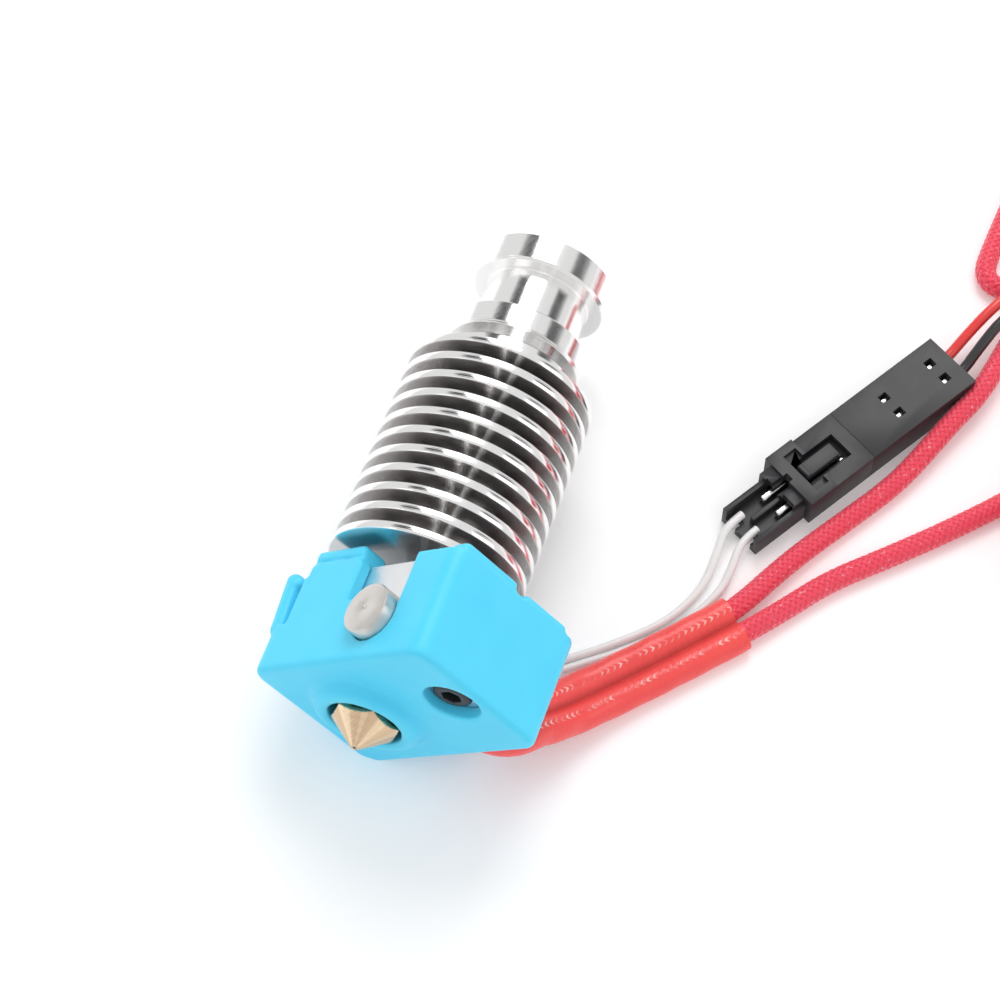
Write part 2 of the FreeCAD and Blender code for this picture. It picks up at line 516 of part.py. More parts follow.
# ---------------------------------------------------------------- connector
def connector_housings():
    """Plug housing with its shroud and open terminal part, and the socket housing that pushes into it."""
    wide, high, wall = S["shroud_half_wide"], S["shroud_high"], S["shroud_wall"]
    band_long, band = S["shroud_band_long"], S["shroud_band_proud"]
    part_wide, part_high, part_wall = S["terminal_part_half_wide"], S["terminal_part_high"], S["terminal_part_wall"]
    pieces = [box("shroud", 0, S["shroud_long"], -wide, wide, 0, high),
              box("shroud_band", 0, band_long, -wide - band, wide + band, 0, high),
              box("terminal_part", -S["terminal_part_long"], 0, -part_wide, part_wide, 0, part_high)]
    tools = [box("shroud_hollow", S["shroud_back_wall"], S["shroud_long"] + 1, -wide + wall, wide - wall, wall, high - wall),
             box("terminal_hollow", -S["terminal_part_long"] - 1, -1.2, -part_wide + part_wall, part_wide - part_wall,
                 part_wall, part_high + 1),
             latch_window()]
    for side in (-0.5, 0.5):
        y = S["way_pitch"] * side
        way = S["way_half_wide"]
        tools.append(box("plug_way_%+d" % (side * 2), -2, S["shroud_back_wall"] + 1, y - way, y + way,
                         S["way_up"] - way, S["way_up"] + way))
    keep(cut("plug_housing", fuse("plug_solid", pieces), tools), "plug_housing", CONNECTOR)

    clear = S["nose_clearance"]
    start = S["shroud_long"] + S["joint_line_gap"]
    end = start + S["socket_long"]
    nose_front = S["shroud_back_wall"] + 0.2
    pivot_x, pivot_z = latch_pivot()
    pad_half = S["latch_half_wide"] + 0.6
    pieces = [box("socket_block", start, end, -wide, wide, 0, high),
              box("socket_nose", nose_front, start + 1, -wide + wall + clear, wide - wall - clear, wall + clear,
                  wall + clear + S["nose_high"]),
              box("latch_cheek_left", pivot_x - 0.5, pivot_x + 0.6, S["latch_half_wide"] + 0.08, pad_half,
                  wall + S["nose_high"] - 0.5, high - wall - clear),
              box("latch_cheek_right", pivot_x - 0.5, pivot_x + 0.6, -pad_half, -S["latch_half_wide"] - 0.08,
                  wall + S["nose_high"] - 0.5, high - wall - clear)]
    tools = [box("latch_pocket", S["latch_front_inset"] - 0.15, pivot_x + 0.65, -S["latch_half_wide"] - 0.08,
                 S["latch_half_wide"] + 0.08, 2.72, high)]
    for side in (-0.5, 0.5):
        y = S["way_pitch"] * side
        way = S["way_half_wide"]
        tools.append(box("socket_way_%+d" % (side * 2), nose_front - 1, end + 1, y - way, y + way,
                         S["way_up"] - way, S["way_up"] + way))
        for inset in (S["window_far_inset"], S["window_far_inset"] + S["window_spacing"]):
            x = end - inset
            side_half = S["window_side"] / 2
            tools.append(box("socket_window", x - side_half, x + side_half, y - side_half, y + side_half,
                             high - S["window_deep"], high + 1))
    keep(cut("socket_housing", fuse("socket_solid", pieces), tools), "socket_housing", CONNECTOR)


def latch_pivot():
    """Axis of the latch: where its root bends, near the joint line and just under the shroud's top."""
    return (S["latch_front_inset"] + S["latch_long"], S["shroud_high"] - S["latch_root_radius"] - 0.3)


def latch_window():
    """The opening in the shroud's top that the latch stands in."""
    margin = S["latch_window_margin"]
    return box("latch_window", S["latch_front_inset"] - 0.25, S["latch_front_inset"] + S["latch_long"] + 1.1,
               -S["latch_half_wide"] - margin, S["latch_half_wide"] + margin,
               S["shroud_high"] - S["shroud_wall"] - 1, S["shroud_high"] + 1)


def latch_lever():
    """Latch of the socket housing: pressed at its free end, it tips down about its root."""
    pivot_x, pivot_z = latch_pivot()
    top = S["shroud_high"] + S["latch_proud"]
    arm = box("latch_arm", S["latch_front_inset"], pivot_x, -S["latch_half_wide"], S["latch_half_wide"],
              top - S["latch_thick"], top)
    root = cylinder("latch_root", S["latch_root_radius"], -S["latch_half_wide"], S["latch_half_wide"] * 2,
                    x=pivot_x, z=pivot_z, along="y")
    keep(fuse("latch_lever", [arm, root]), "latch_lever", CONNECTOR)


def terminals():
    """Crimped pins in the plug housing and the receptacles that they enter in the socket housing."""
    pins, receptacles = [], []
    start = S["shroud_long"] + S["joint_line_gap"]
    for side in (-0.5, 0.5):
        y, z = S["way_pitch"] * side, S["way_up"]
        pin, crimp, shell = S["pin_half_wide"], S["crimp_half_wide"], S["receptacle_half_wide"]
        crimp_start = -S["terminal_part_long"] + 1.6
        pins.append(fuse("plug_pin", [
            box("crimp", crimp_start, crimp_start + S["crimp_long"], y - crimp, y + crimp, z - crimp, z + crimp),
            box("pin", crimp_start + S["crimp_long"], crimp_start + S["crimp_long"] + S["pin_long"],
                y - pin, y + pin, z - pin, z + pin)]))
        shell_start = start - 4.5
        hollow = pin + 0.08
        receptacles.append(cut("receptacle", box(
            "receptacle_shell", shell_start, shell_start + S["receptacle_long"], y - shell, y + shell,
            z - shell, z + shell), [box("receptacle_hollow", shell_start - 1, shell_start + 8, y - hollow, y + hollow,
                                        z - hollow, z + hollow)]))
    keep(fuse("plug_terminals", pins), "plug_terminals", CONNECTOR)
    keep(fuse("socket_terminals", receptacles), "socket_terminals", CONNECTOR)


# ---------------------------------------------------------------- leads
def hot_point(x, y, z):
    """A point of the upright hot end, laid down with it."""
    return LAID.multVec(Vector(x, y, z))


def connector_point(x, y, z):
    """A point of the connector's own frame, where the connector lies."""
    return CONNECTOR.multVec(Vector(x, y, z))


def above_table(x, y, height):
    """A point at a height above the table."""
    return Vector(x, y, FLOOR + height)


def route_wire(name, points):
    """Straight runs joined by tangent arcs, each arc as large as its two runs allow."""
    edges, radii = [], []
    start = points[0]
    for before, here, after in zip(points, points[1:], points[2:]):
        back, ahead = before - here, after - here
        shorter = 0.45 * min(back.Length, ahead.Length)
        turn = math.pi - back.getAngle(ahead)
        radii.append(shorter / math.tan(turn / 2))
        first = here + Vector(back).normalize() * shorter
        last = here + Vector(ahead).normalize() * shorter
        inward = (Vector(back).normalize() + Vector(ahead).normalize()).normalize()
        reach = radii[-1] / math.cos(turn / 2) - radii[-1]
        edges.append(Part.LineSegment(start, first).toShape())
        edges.append(Part.Arc(first, here + inward * reach, last).toShape())
        start = last
    edges.append(Part.LineSegment(start, points[-1]).toShape())
    wire = Part.Wire(edges)
    print("%s: %.1f mm long, radii %s" % (name, wire.Length, " ".join("%.1f" % r for r in radii)))
    return wire


def sweep(wire, section):
    """A solid swept from a closed section along a wire."""
    return wire.makePipeShell([section], True, False)


def lead_tube(label, points, radius):
    """A lead's solid between its exit and its coil or terminal."""
    wire = route_wire(label, points)
    start, heading = points[0], (points[1] - points[0]).normalize()
    section = Part.Wire([Part.makeCircle(radius, start, heading)])
    tube = sweep(wire, section)
    if abs(tube.Volume / (math.pi * radius ** 2 * wire.Length) - 1) > 0.02:
        raise RuntimeError("the tube of %s has the wrong volume" % label)
    made = doc.addObject("Part::Feature", label)
    made.Shape = tube
    keep(made, label)
    return tube


heater_r = S["heater_lead_radius"].value
therm_r = S["thermistor_lead_radius"].value
ext_r = S["extension_lead_radius"].value
AWAY = LAID.Rotation.multVec(Vector(0, 1, 0))      # the way the leads leave the block


def heater_start(side):
    """Where a heater lead leaves the cartridge's plug; side is +1 towards the heat sink, -1 the nozzle."""
    exit_ = hot_point(S["cartridge_off"].value, cartridge_back.value, cartridge_z.value)
    return exit_ + Vector(0, side * S["heater_lead_pitch"].value / 2, 0)


# stations of the pair of heater leads inside their sleeve, after the straight exit: x, y, height, lateral heading
SLEEVE_STATIONS = [(16.3, -44.1, 5.6, 128), (18.6, -40.6, 3.0, 135), (22.4, -35.9, 1.75, 138),
                   (27.5, -30.2, 1.45, 138), (32.9, -24.0, 1.45, 142)]


def station_point(station, side):
    """One lead's point at a station of the pair."""
    x, y, height, lateral = station
    reach = side * S["heater_lead_pitch"].value / 2
    return above_table(x + reach * math.cos(math.radians(lateral)), y + reach * math.sin(math.radians(lateral)), height)


def heater_sleeve_points(side):
    """The part of a heater lead's route from its exit to the sleeve's far end."""
    start = heater_start(side)
    return [start, start + AWAY * 2.6] + [station_point(s, side) for s in SLEEVE_STATIONS]


HEATER_A_ROUTE = [(36.3, -14.1, 1.2), (40.4, -7.7, 1.2), (44.7, -1.0, 1.3), (46.8, 3.6, 1.7), (48.8, 8.9, 2.1),
                  (51.0, 13.7, 2.3), (52.2, 19.6, 2.2), (53.0, 24.2, 1.7), (54.4, 28.2, 1.3), (52.2, 30.5, 1.2),
                  (49.2, 29.5, 1.2), (47.1, 31.2, 1.2), (47.3, 35.4, 1.2), (47.8, 41.6, 1.4), (48.6, 49.0, 1.6)]
HEATER_B_ROUTE = [(37.4, -20.4, 1.2), (41.2, -15.2, 1.2), (46.6, -10.1, 1.2), (52.0, -4.7, 1.2), (57.2, 0.9, 1.3)]
THERMISTOR_A_ROUTE = [(6.0, -42.0, 0.6), (10.6, -38.0, 0.55), (15.9, -34.3, 0.55), (21.2, -30.0, 0.55),
                      (25.6, -25.6, 0.55), (28.0, -20.4, 0.65), (28.2, -15.6, 1.3)]
THERMISTOR_B_ROUTE = [(6.4, -43.4, 0.6), (11.6, -39.2, 0.55), (16.9, -34.8, 0.55), (22.4, -30.6, 0.55),
                      (27.4, -25.3, 0.55), (30.0, -20.4, 0.65), (30.4, -16.8, 1.3)]
EXTENSION_RED_ROUTE = [(47.3, 20.2, 2.9), (49.7, 25.2, 4.3), (53.2, 30.6, 4.6), (58.0, 35.4, 3.0),
                       (63.2, 38.4, 1.4)]
EXTENSION_BLACK_ROUTE = [(49.3, 19.0, 3.2), (51.3, 24.2, 4.6), (55.3, 27.9, 4.8), (61.0, 29.0, 3.2),
                         (67.3, 25.6, 1.3), (75.6, 22.6, 0.9), (86.0, 21.9, 1.0)]
# coils: centre x, centre y, heading at which the lead reaches the coil, heading of its free end
HEATER_A_COIL = (64.55, 60.9, 80.0, 10.0)
HEATER_B_COIL = (76.65, 1.2, 50.0, -120.0)
EXTENSION_RED_COIL = (78.8, 36.0, 35.0, 20.0)
EXTENSION_BLACK_COIL = (102.0, 13.2, 6.0, -30.0)


def coil_sizes(kind, radius):
    """Inner and outer radius, height, low height and pitch of a stored coil, and the radius of its outermost turn."""
    layers, levels = S[kind + "_coil_layers"].value, S[kind + "_coil_levels"].value
    turn = 2 * radius + S["coil_slack"].value
    middle = S[kind + "_coil_radius"].value
    low = S["band_thick"].value + 0.1
    outer = middle + layers * turn / 2
    return middle - layers * turn / 2, outer, levels * turn, low, turn, outer - turn / 2


def coil_tangent(place, heading, reach, wind):
    """A point on the straight line that touches a coil's outermost turn, and the line's heading."""
    along = Vector(math.cos(math.radians(heading)), math.sin(math.radians(heading)), 0)
    inward = Vector(along.y, -along.x, 0)
    return Vector(place[0], place[1], 0) - inward * wind + along * reach, along


def lead_to_coil(label, points, place, kind, radius):
    """A lead that ends at the outside of its coil."""
    outer, high, low, turn, wind = coil_sizes(kind, radius)[1:]
    reach = math.sqrt(outer ** 2 - wind ** 2)
    end = coil_tangent(place, place[2], 1.0 - reach, wind)[0]
    return lead_tube(label, points + [above_table(end.x, end.y, low + turn / 2)], radius)


def coil(label, place, kind, radius):
    """One closed ring of a lead's stored turns, its band, and the ferrule at the lead's end beside it."""
    inner, outer, high, low, turn, wind = coil_sizes(kind, radius)
    ring = doc.addObject("Part::Feature", label + "_coil")
    base = above_table(place[0], place[1], low)
    ring.Shape = Part.makeCylinder(outer, high, base).cut(Part.makeCylinder(inner, high, base))
    keep(ring, label + "_coil")

    thick, gap = S["band_thick"].value, S["band_clearance"].value / 2
    wide = S["band_wide"].value
    near = math.sqrt(inner ** 2 - wide ** 2 / 4) - gap
    across = outer + gap - near
    inside = Part.makeBox(across, wide + 2, high + 2 * gap, Vector(near, -wide / 2 - 1, low - gap))
    outside = Part.makeBox(across + 2 * thick, wide, high + gap + thick + low, Vector(near - thick, -wide / 2, 0))
    band = doc.addObject("Part::Feature", label + "_band")
    band.Shape = outside.cut(inside)
    keep(band, label + "_band", Placement(above_table(place[0], place[1], 0),
                                          Rotation(Vector(0, 0, 1), place[2] - 160)))

    reach = math.sqrt(outer ** 2 - wind ** 2)
    start, along = coil_tangent(place, place[3], reach + 0.4, wind)
    start = above_table(start.x, start.y, low + high - turn / 2)
    collar = radius + S["ferrule_collar_proud"].value
    shape = Part.makeCylinder(collar, S["ferrule_collar_long"].value, start, along)
    shape = shape.fuse(Part.makeCylinder(radius * S["ferrule_tube_share"].value, S["ferrule_tube_long"].value,
                                         start + along * S["ferrule_collar_long"].value, along))
    ferrule = doc.addObject("Part::Feature", label + "_ferrule")
    ferrule.Shape = shape
    keep(ferrule, label + "_ferrule")


def heater_leads():
    """The two braided heater leads, their sleeve, and their coils."""
    tubes = []
    for side, label, route, place in ((1, "heater_lead_a", HEATER_A_ROUTE, HEATER_A_COIL),
                                      (-1, "heater_lead_b", HEATER_B_ROUTE, HEATER_B_COIL)):
        points = heater_sleeve_points(side) + [above_table(*p) for p in route]
        tubes.append(lead_to_coil(label, points, place, "heater", heater_r))
        coil(label, place, "heater", heater_r)
    outer = []
    for side in (1, -1):
        points = heater_sleeve_points(side)
        points[0] = points[0] + AWAY * 0.6
        points[-1] = points[-1] + (points[-1] - points[-2]).normalize() * 0.5
        section_r = heater_r + S["sleeve_wall"].value
        wire = route_wire("sleeve", points)
        section = Part.Wire([Part.makeCircle(section_r, points[0], (points[1] - points[0]).normalize())])
        outer.append(sweep(wire, section))
    sleeve = doc.addObject("Part::Feature", "lead_sleeve")
    sleeve.Shape = outer[0].fuse(outer[1]).cut(tubes[0]).cut(tubes[1])
    keep(sleeve, "lead_sleeve")


def thermistor_leads():
    """The two thin white leads from the thermistor sleeve to the plug's terminals."""
    for side, label, route in ((1, "thermistor_lead_a", THERMISTOR_A_ROUTE), (-1, "thermistor_lead_b", THERMISTOR_B_ROUTE)):
        reach = S["thermistor_lead_pitch"].value / 2
        exit_ = hot_point(-S["thermistor_off"].value, S["block_half_wide"].value, thermistor_z.value)
        exit_ = exit_ + Vector(0, side * reach, 0)
        y = side * S["way_pitch"].value / 2
        crimp = -S["terminal_part_long"].value + 1.6
        points = [exit_, exit_ + AWAY * 2.6] + [above_table(*p) for p in route]
        points += [connector_point(crimp - 2.6, y, S["way_up"].value), connector_point(crimp, y, S["way_up"].value)]
        lead_tube(label, points, therm_r)


def extension_leads():
    """The red and black leads from the socket's terminals to their coils."""
    for side, label, route, place in ((1, "extension_lead_red", EXTENSION_RED_ROUTE, EXTENSION_RED_COIL),
                                      (-1, "extension_lead_black", EXTENSION_BLACK_ROUTE, EXTENSION_BLACK_COIL)):
        y = side * S["way_pitch"].value / 2
        start = (S["shroud_long"] + S["joint_line_gap"] - 4.5 + S["receptacle_long"]).value
        end = (S["shroud_long"] + S["joint_line_gap"] + S["socket_long"]).value
        z = S["way_up"].value
        points = [connector_point(start, y, z), connector_point(end + 1.0, y, z + 0.1)] + [above_table(*p) for p in route]
        lead_to_coil(label, points, place, "extension", ext_r)
        coil(label, place, "extension", ext_r)


# ---------------------------------------------------------------- build and write
def main():
    """Build every sub-part, check each one, and write its file."""
    heat_sink()
    collet_and_tube()
    heat_break()
    nozzle()
    heater_block()
    block_screws()
    heater_cartridge()
    thermistor()
    silicone_sock()
    connector_housings()
    latch_lever()
    terminals()
    heater_leads()
    thermistor_leads()
    extension_leads()
    doc.recompute()
    for obj in doc.Objects:
        if {"Invalid", "Error"} & set(obj.State):
            raise RuntimeError("%s failed: %s" % (obj.Label, obj.State))
    os.makedirs("parts", exist_ok=True)
    for label, obj in kept.items():
        shape = obj.Shape
        if shape.isNull() or not shape.isValid() or not shape.Solids:
            raise RuntimeError("%s has no valid solid" % label)
        shape.exportStep(os.path.join("parts", label + ".step"))
    print("floor %.3f, %d sub-parts" % (FLOOR, len(kept)))


main()
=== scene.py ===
"""Looks of the hotend lying on a table: turned heat sink, silicone-covered hot block, braided heater leads,
thermistor leads and their latched connector.

Lengths are millimetres in the classes and metres in the scene.
"""

import logging
import math
import random
from dataclasses import dataclass, field
from enum import Enum
from typing import Callable, Iterable, Sequence

import bmesh
import bpy
from mathutils import Matrix, Vector


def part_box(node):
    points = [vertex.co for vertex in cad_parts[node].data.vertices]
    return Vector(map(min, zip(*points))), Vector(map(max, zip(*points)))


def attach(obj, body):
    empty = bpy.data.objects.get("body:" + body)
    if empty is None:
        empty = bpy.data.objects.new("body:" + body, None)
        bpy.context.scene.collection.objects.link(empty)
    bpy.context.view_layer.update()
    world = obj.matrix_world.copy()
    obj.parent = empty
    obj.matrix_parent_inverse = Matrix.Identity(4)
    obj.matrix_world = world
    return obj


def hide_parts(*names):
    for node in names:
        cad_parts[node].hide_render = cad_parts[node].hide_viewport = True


LOG = logging.getLogger("hotend")
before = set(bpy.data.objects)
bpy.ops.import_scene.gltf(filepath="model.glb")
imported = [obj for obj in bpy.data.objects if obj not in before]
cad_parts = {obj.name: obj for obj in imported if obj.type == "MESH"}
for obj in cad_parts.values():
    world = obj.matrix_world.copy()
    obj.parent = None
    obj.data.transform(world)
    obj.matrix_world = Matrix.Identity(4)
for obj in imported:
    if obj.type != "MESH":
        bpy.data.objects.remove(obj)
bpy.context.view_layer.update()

MM = 0.001
LIE_ANGLE = 42.6
HOT = Matrix.Rotation(math.radians(-LIE_ANGLE), 4, "Y") @ Matrix.Rotation(math.radians(-90), 4, "X")
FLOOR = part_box("silicone_sock")[0].z / MM
CONNECTOR = Matrix.Translation((33.65, -6.05, FLOOR)) @ Matrix.Rotation(math.radians(59.0), 4, "Z")
WORLD = Matrix.Identity(4)

SMOOTH_ANGLE = 35.0

Point = tuple[float, float, float]
Span = tuple[float, float]
Piece = tuple[bpy.types.Object, str, str]


# ---------------------------------------------------------------- node trees
class Value:
    """A shader socket that does maths with operators."""

    def __init__(self, tree: "Tree", socket: bpy.types.NodeSocket) -> None:
        """Wraps an output socket of a tree."""
        self.tree = tree
        self.socket = socket

    def __add__(self, other: "Value | float") -> "Value":
        """Self plus other."""
        return self.tree.math("ADD", self, other)

    def __sub__(self, other: "Value | float") -> "Value":
        """Self less other."""
        return self.tree.math("SUBTRACT", self, other)

    def __mul__(self, other: "Value | float") -> "Value":
        """Self times other."""
        return self.tree.math("MULTIPLY", self, other)

    def __truediv__(self, other: "Value | float") -> "Value":
        """Self over other."""
        return self.tree.math("DIVIDE", self, other)

    def __radd__(self, other: float) -> "Value":
        """Other plus self."""
        return self.tree.math("ADD", other, self)

    def __rsub__(self, other: float) -> "Value":
        """Other less self."""
        return self.tree.math("SUBTRACT", other, self)

    def __rmul__(self, other: float) -> "Value":
        """Other times self."""
        return self.tree.math("MULTIPLY", other, self)

    def sin(self) -> "Value":
        """Sine of self in radians."""
        return self.tree.math("SINE", self)

    def abs(self) -> "Value":
        """Self without its sign."""
        return self.tree.math("ABSOLUTE", self)

    def power(self, other: float) -> "Value":
        """Self to a power."""
        return self.tree.math("POWER", self, other)

    def above(self, other: float) -> "Value":
        """1 where self is greater than other, else 0."""
        return self.tree.math("GREATER_THAN", self, other)

    def between(self, low: float, high: float) -> "Value":
        """Smoothly remaps low..high to 0..1.

        Args:
            low: the value that becomes 0.
            high: the value that becomes 1.

        Returns:
            The remapped value.
        """
        node = self.tree.add("ShaderNodeMapRange", {"interpolation_type": "SMOOTHSTEP"},
                             Value=self, From_Min=low, From_Max=high)
        return Value(self.tree, node.outputs["Result"])


class Wiring:
    """A node tree being built, with one way to add a node and one to fill a socket."""

    def __init__(self, tree: bpy.types.NodeTree) -> None:
        """Starts on a tree that exists."""
        self.nodes = tree.nodes
        self.links = tree.links

    def add(self, kind: str, settings: dict | None = None, *values, **inputs) -> bpy.types.Node:
        """Adds a node.

        Args:
            kind: the node's type.
            settings: its properties, set first, because they decide which sockets it has.
            values: links or constants for its sockets, in their order.
            inputs: links or constants for its sockets by name, with _ for a space.

        Returns:
            The node.
        """
        node = self.nodes.new(kind)
        for key, value in (settings or {}).items():
            setattr(node, key, value)
        for socket, value in zip(node.inputs, values):
            self.feed(socket, value)
        for name, value in inputs.items():
            self.feed(next(s for s in node.inputs if s.name == name.replace("_", " ") and s.enabled), value)
        return node

    def feed(self, socket: bpy.types.NodeSocket, value: object) -> None:
        """Fills a socket.

        Args:
            socket: the input to fill.
            value: a Value or an output to link, or a constant.
        """
        if isinstance(value, Value):
            self.links.new(value.socket, socket)
        elif isinstance(value, bpy.types.NodeSocket):
            self.links.new(value, socket)
        else:
            socket.default_value = value


class Tree(Wiring):
    """The node tree of a material or of the world."""

    def __init__(self, owner: bpy.types.Material | bpy.types.World) -> None:
        """Turns the owner's nodes on and starts on them.

        Args:
            owner: the material or world.
        """
        owner.use_nodes = True
        super().__init__(owner.node_tree)
        self.owner = owner

    @classmethod
    def named(cls, name: str) -> "Tree":
        """The tree of a new material."""
        return cls(bpy.data.materials.new(name + "_finish"))

    def math(self, operation: str, *values: Value | float) -> Value:
        """A maths node over values and numbers."""
        return Value(self, self.add("ShaderNodeMath", {"operation": operation}, *values).outputs[0])

    def place(self) -> Value:
        """Reads object coordinates.

        Returns:
            The coordinates in millimetres.
        """
        place = self.add("ShaderNodeTexCoord").outputs["Object"]
        node = self.add("ShaderNodeVectorMath", {"operation": "SCALE"}, place, Scale=1 / MM)
        return Value(self, node.outputs[0])

    def parts(self, vector: Value) -> tuple[Value, Value, Value]:
        """The three parts of a vector."""
        return tuple(Value(self, out) for out in self.add("ShaderNodeSeparateXYZ", Vector=vector).outputs)

    def stretched(self, vector: Value, x: float, y: float, z: float) -> Value:
        """A vector scaled part by part."""
        node = self.add("ShaderNodeVectorMath", {"operation": "MULTIPLY"}, vector, (x, y, z))
        return Value(self, node.outputs[0])

    def combined(self, x: Value | float, y: Value | float, z: Value | float) -> Value:
        """A vector of three parts."""
        return Value(self, self.add("ShaderNodeCombineXYZ", X=x, Y=y, Z=z).outputs[0])

    def noise(self, vector: Value, scale: float, detail: float = 3.0, rough: float = 0.55) -> Value:
        """Fractal noise from 0 to 1."""
        node = self.add("ShaderNodeTexNoise", Vector=vector, Scale=scale, Detail=detail, Roughness=rough)
        return Value(self, node.outputs["Fac"])

    def attribute(self, name: str) -> Value:
        """A named attribute of the mesh, as a vector."""
        return Value(self, self.add("ShaderNodeAttribute", {"attribute_name": name}).outputs["Vector"])

    def mix(self, factor: Value | float, low: Value | Point, high: Value | Point) -> Value:
        """A colour between two colours.

        Args:
            factor: 0 for the first colour, 1 for the second.
            low: the first colour.
            high: the second colour.

        Returns:
            The mixed colour.
        """
        node = self.add("ShaderNodeMix", {"data_type": "RGBA"}, Factor=factor)
        for socket, colour in zip([s for s in node.inputs if s.type == "RGBA"], (low, high)):
            self.feed(socket, colour if isinstance(colour, Value) else (*colour, 1.0))
        return Value(self, next(s for s in node.outputs if s.type == "RGBA"))

    def bump(self, height: Value, strength: float, deep_mm: float) -> Value:
        """A bumped normal from a height in millimetres."""
        node = self.add("ShaderNodeBump", Height=height, Strength=strength, Distance=deep_mm * MM)
        return Value(self, node.outputs["Normal"])

    def set(self, **sockets: object) -> bpy.types.Material:
        """Fills the surface shader's sockets.

        Args:
            sockets: links or constants by name, with _ for a space.

        Returns:
            The material.
        """
        for name, value in sockets.items():
            self.feed(self.nodes["Principled BSDF"].inputs[name.replace("_", " ")], value)
        return self.owner


# ---------------------------------------------------------------- finishes
@dataclass(frozen=True)
class Finish:
    """A plain finish with a little cloudiness in its roughness and a fine grain.

    Args:
        name: the material's name.
        colour: linear red, green, blue.
        rough: mean roughness.
        metal: metallic share.
        coat: clear coat weight.
        grain: height of the fine grain, millimetres.
        grain_scale: how many grains to a millimetre.
        shift: how much the colour darkens in its darker clouds.
    """

    name: str
    colour: Point
    rough: float = 0.4
    metal: float = 0.0
    coat: float = 0.0
    grain: float = 0.004
    grain_scale: float = 4.0
    shift: float = 0.12

    def make(self) -> bpy.types.Material:
        """Builds the material.

        Returns:
            The material.
        """
        tree = Tree.named(self.name)
        place = tree.place()
        cloud = tree.noise(place, 0.35, 4.0)
        grain = tree.noise(place, self.grain_scale, 2.0)
        dark = tuple(c * (1 - self.shift) for c in self.colour)
        return tree.set(
            Base_Color=tree.mix(cloud, dark, self.colour),
            Roughness=self.rough * 0.85 + 0.3 * self.rough * cloud,
            Metallic=self.metal,
            Coat_Weight=self.coat,
            Coat_Roughness=0.12,
            Normal=tree.bump(grain, 0.6, self.grain),
        )


@dataclass(frozen=True)
class TurnedMetal:
    """Metal turned about the filament axis: fine rings, painted highlight streaks round the axis, painted
    shade in the recesses.

    Args:
        name: the material's name.
        colour: linear red, green, blue outside the painted shade of the recesses.
        rough: least roughness.
        ring_mm: distance from ring to ring.
        ring_deep: height of the rings, millimetres.
        painted_recess_shade: painted shade colour laid in the recesses.
        unshaded_radius: radius from which no painted shade is laid.
        painted_glints: painted highlight streaks: middle and width in degrees round the axis, and strength.
        recess: the two heights between which the painted shade lies inside unshaded_radius.
        shade: painted shade colour of the outer metal between its painted highlight streaks.
        patchy: how much of the shade shows.
    """

    name: str
    colour: Point
    rough: float = 0.08
    ring_mm: float = 0.16
    ring_deep: float = 0.004
    painted_recess_shade: Point = (0.54, 0.525, 0.52)
    unshaded_radius: float = 10.9
    painted_glints: tuple[Point, ...] = ()
    recess: Span = (-40.0, -8.6)
    shade: Point = (0.6, 0.59, 0.58)
    patchy: float = 0.1

    def make(self) -> bpy.types.Material:
        """Builds the material.

        Returns:
            The material.
        """
        tree = Tree.named(self.name)
        place = tree.place()
        x, y, z = tree.parts(place)
        radius = (x * x + z * z).power(0.5)
        ring = (radius * (2 * math.pi / self.ring_mm)).sin()
        across = (y * (2 * math.pi / self.ring_mm)).sin()
        mottle = tree.noise(place, 0.8, 4.0)
        low, high = self.recess
        # rim is 0 where painted shade darkens the recesses, 1 elsewhere.
        rim = 1.0 - (1.0 - radius.between(self.unshaded_radius - 0.2, self.unshaded_radius)) * y.above(low) * (
            1.0 - y.above(high))
        turned = tree.math("ARCTAN2", x, z) * (180 / math.pi)
        # Painted highlight streaks round the axis: faint noise plus the listed glint streaks.
        painted_streak: Value | float = tree.noise(tree.combined(turned * 0.16, 0.0, 0.0), 1.0, 4.0, 0.7) * 0.3 - 0.05
        for middle, wide, strength in self.painted_glints:
            off = (turned - middle).abs()
            painted_streak = painted_streak + (1.0 - off.between(wide * 0.4, wide)) * strength
        # Recesses take the painted shade colour, lifted towards the metal colour by the painted streaks.
        painted_recess_colour = tree.mix(painted_streak, self.painted_recess_shade, self.colour)
        streaked_colour = tree.mix(painted_streak * self.patchy + (1 - self.patchy), self.shade, self.colour)
        colour = tree.mix(rim, painted_recess_colour, streaked_colour)
        height = ring * self.ring_deep + across * (self.ring_deep * 0.4) + mottle * 0.01
        return tree.set(Base_Color=colour, Roughness=self.rough + 0.1 * mottle, Metallic=1.0,
                        Normal=tree.bump(height, 1.0, 1.0))


@dataclass(frozen=True)
class Silicone:
    """Soft satin rubber with light passing under its skin, fine dust and faint mould marks.

    Args:
        name: the material's name.
        colour: linear red, green, blue.
        deep: colour of its darker clouds.
        rough: least roughness.
    """

    name: str
    colour: Point
    deep: Point
    rough: float = 0.36

    def make(self) -> bpy.types.Material:
        """Builds the material.

        Returns:
            The material.
        """
        tree = Tree.named(self.name)
        place = tree.place()
        cloud = tree.noise(place, 0.22, 3.0)
        fine = tree.noise(place, 5.0, 3.0, 0.6)
        dust = tree.noise(place, 9.0, 1.0).between(0.72, 0.78)
        colour = tree.mix(cloud * 0.8, self.colour, self.deep)
        height = fine * 0.01 + cloud * 0.05 + dust * 0.006
        return tree.set(Base_Color=colour, Roughness=self.rough + 0.12 * fine, Subsurface_Weight=0.12,
                        Subsurface_Radius=(0.3, 0.9, 1.2), Subsurface_Scale=0.0008, Specular_IOR_Level=0.34,
                        Coat_Weight=0.04, Coat_Roughness=0.25,
                        Normal=tree.bump(height, 0.8, 0.35))


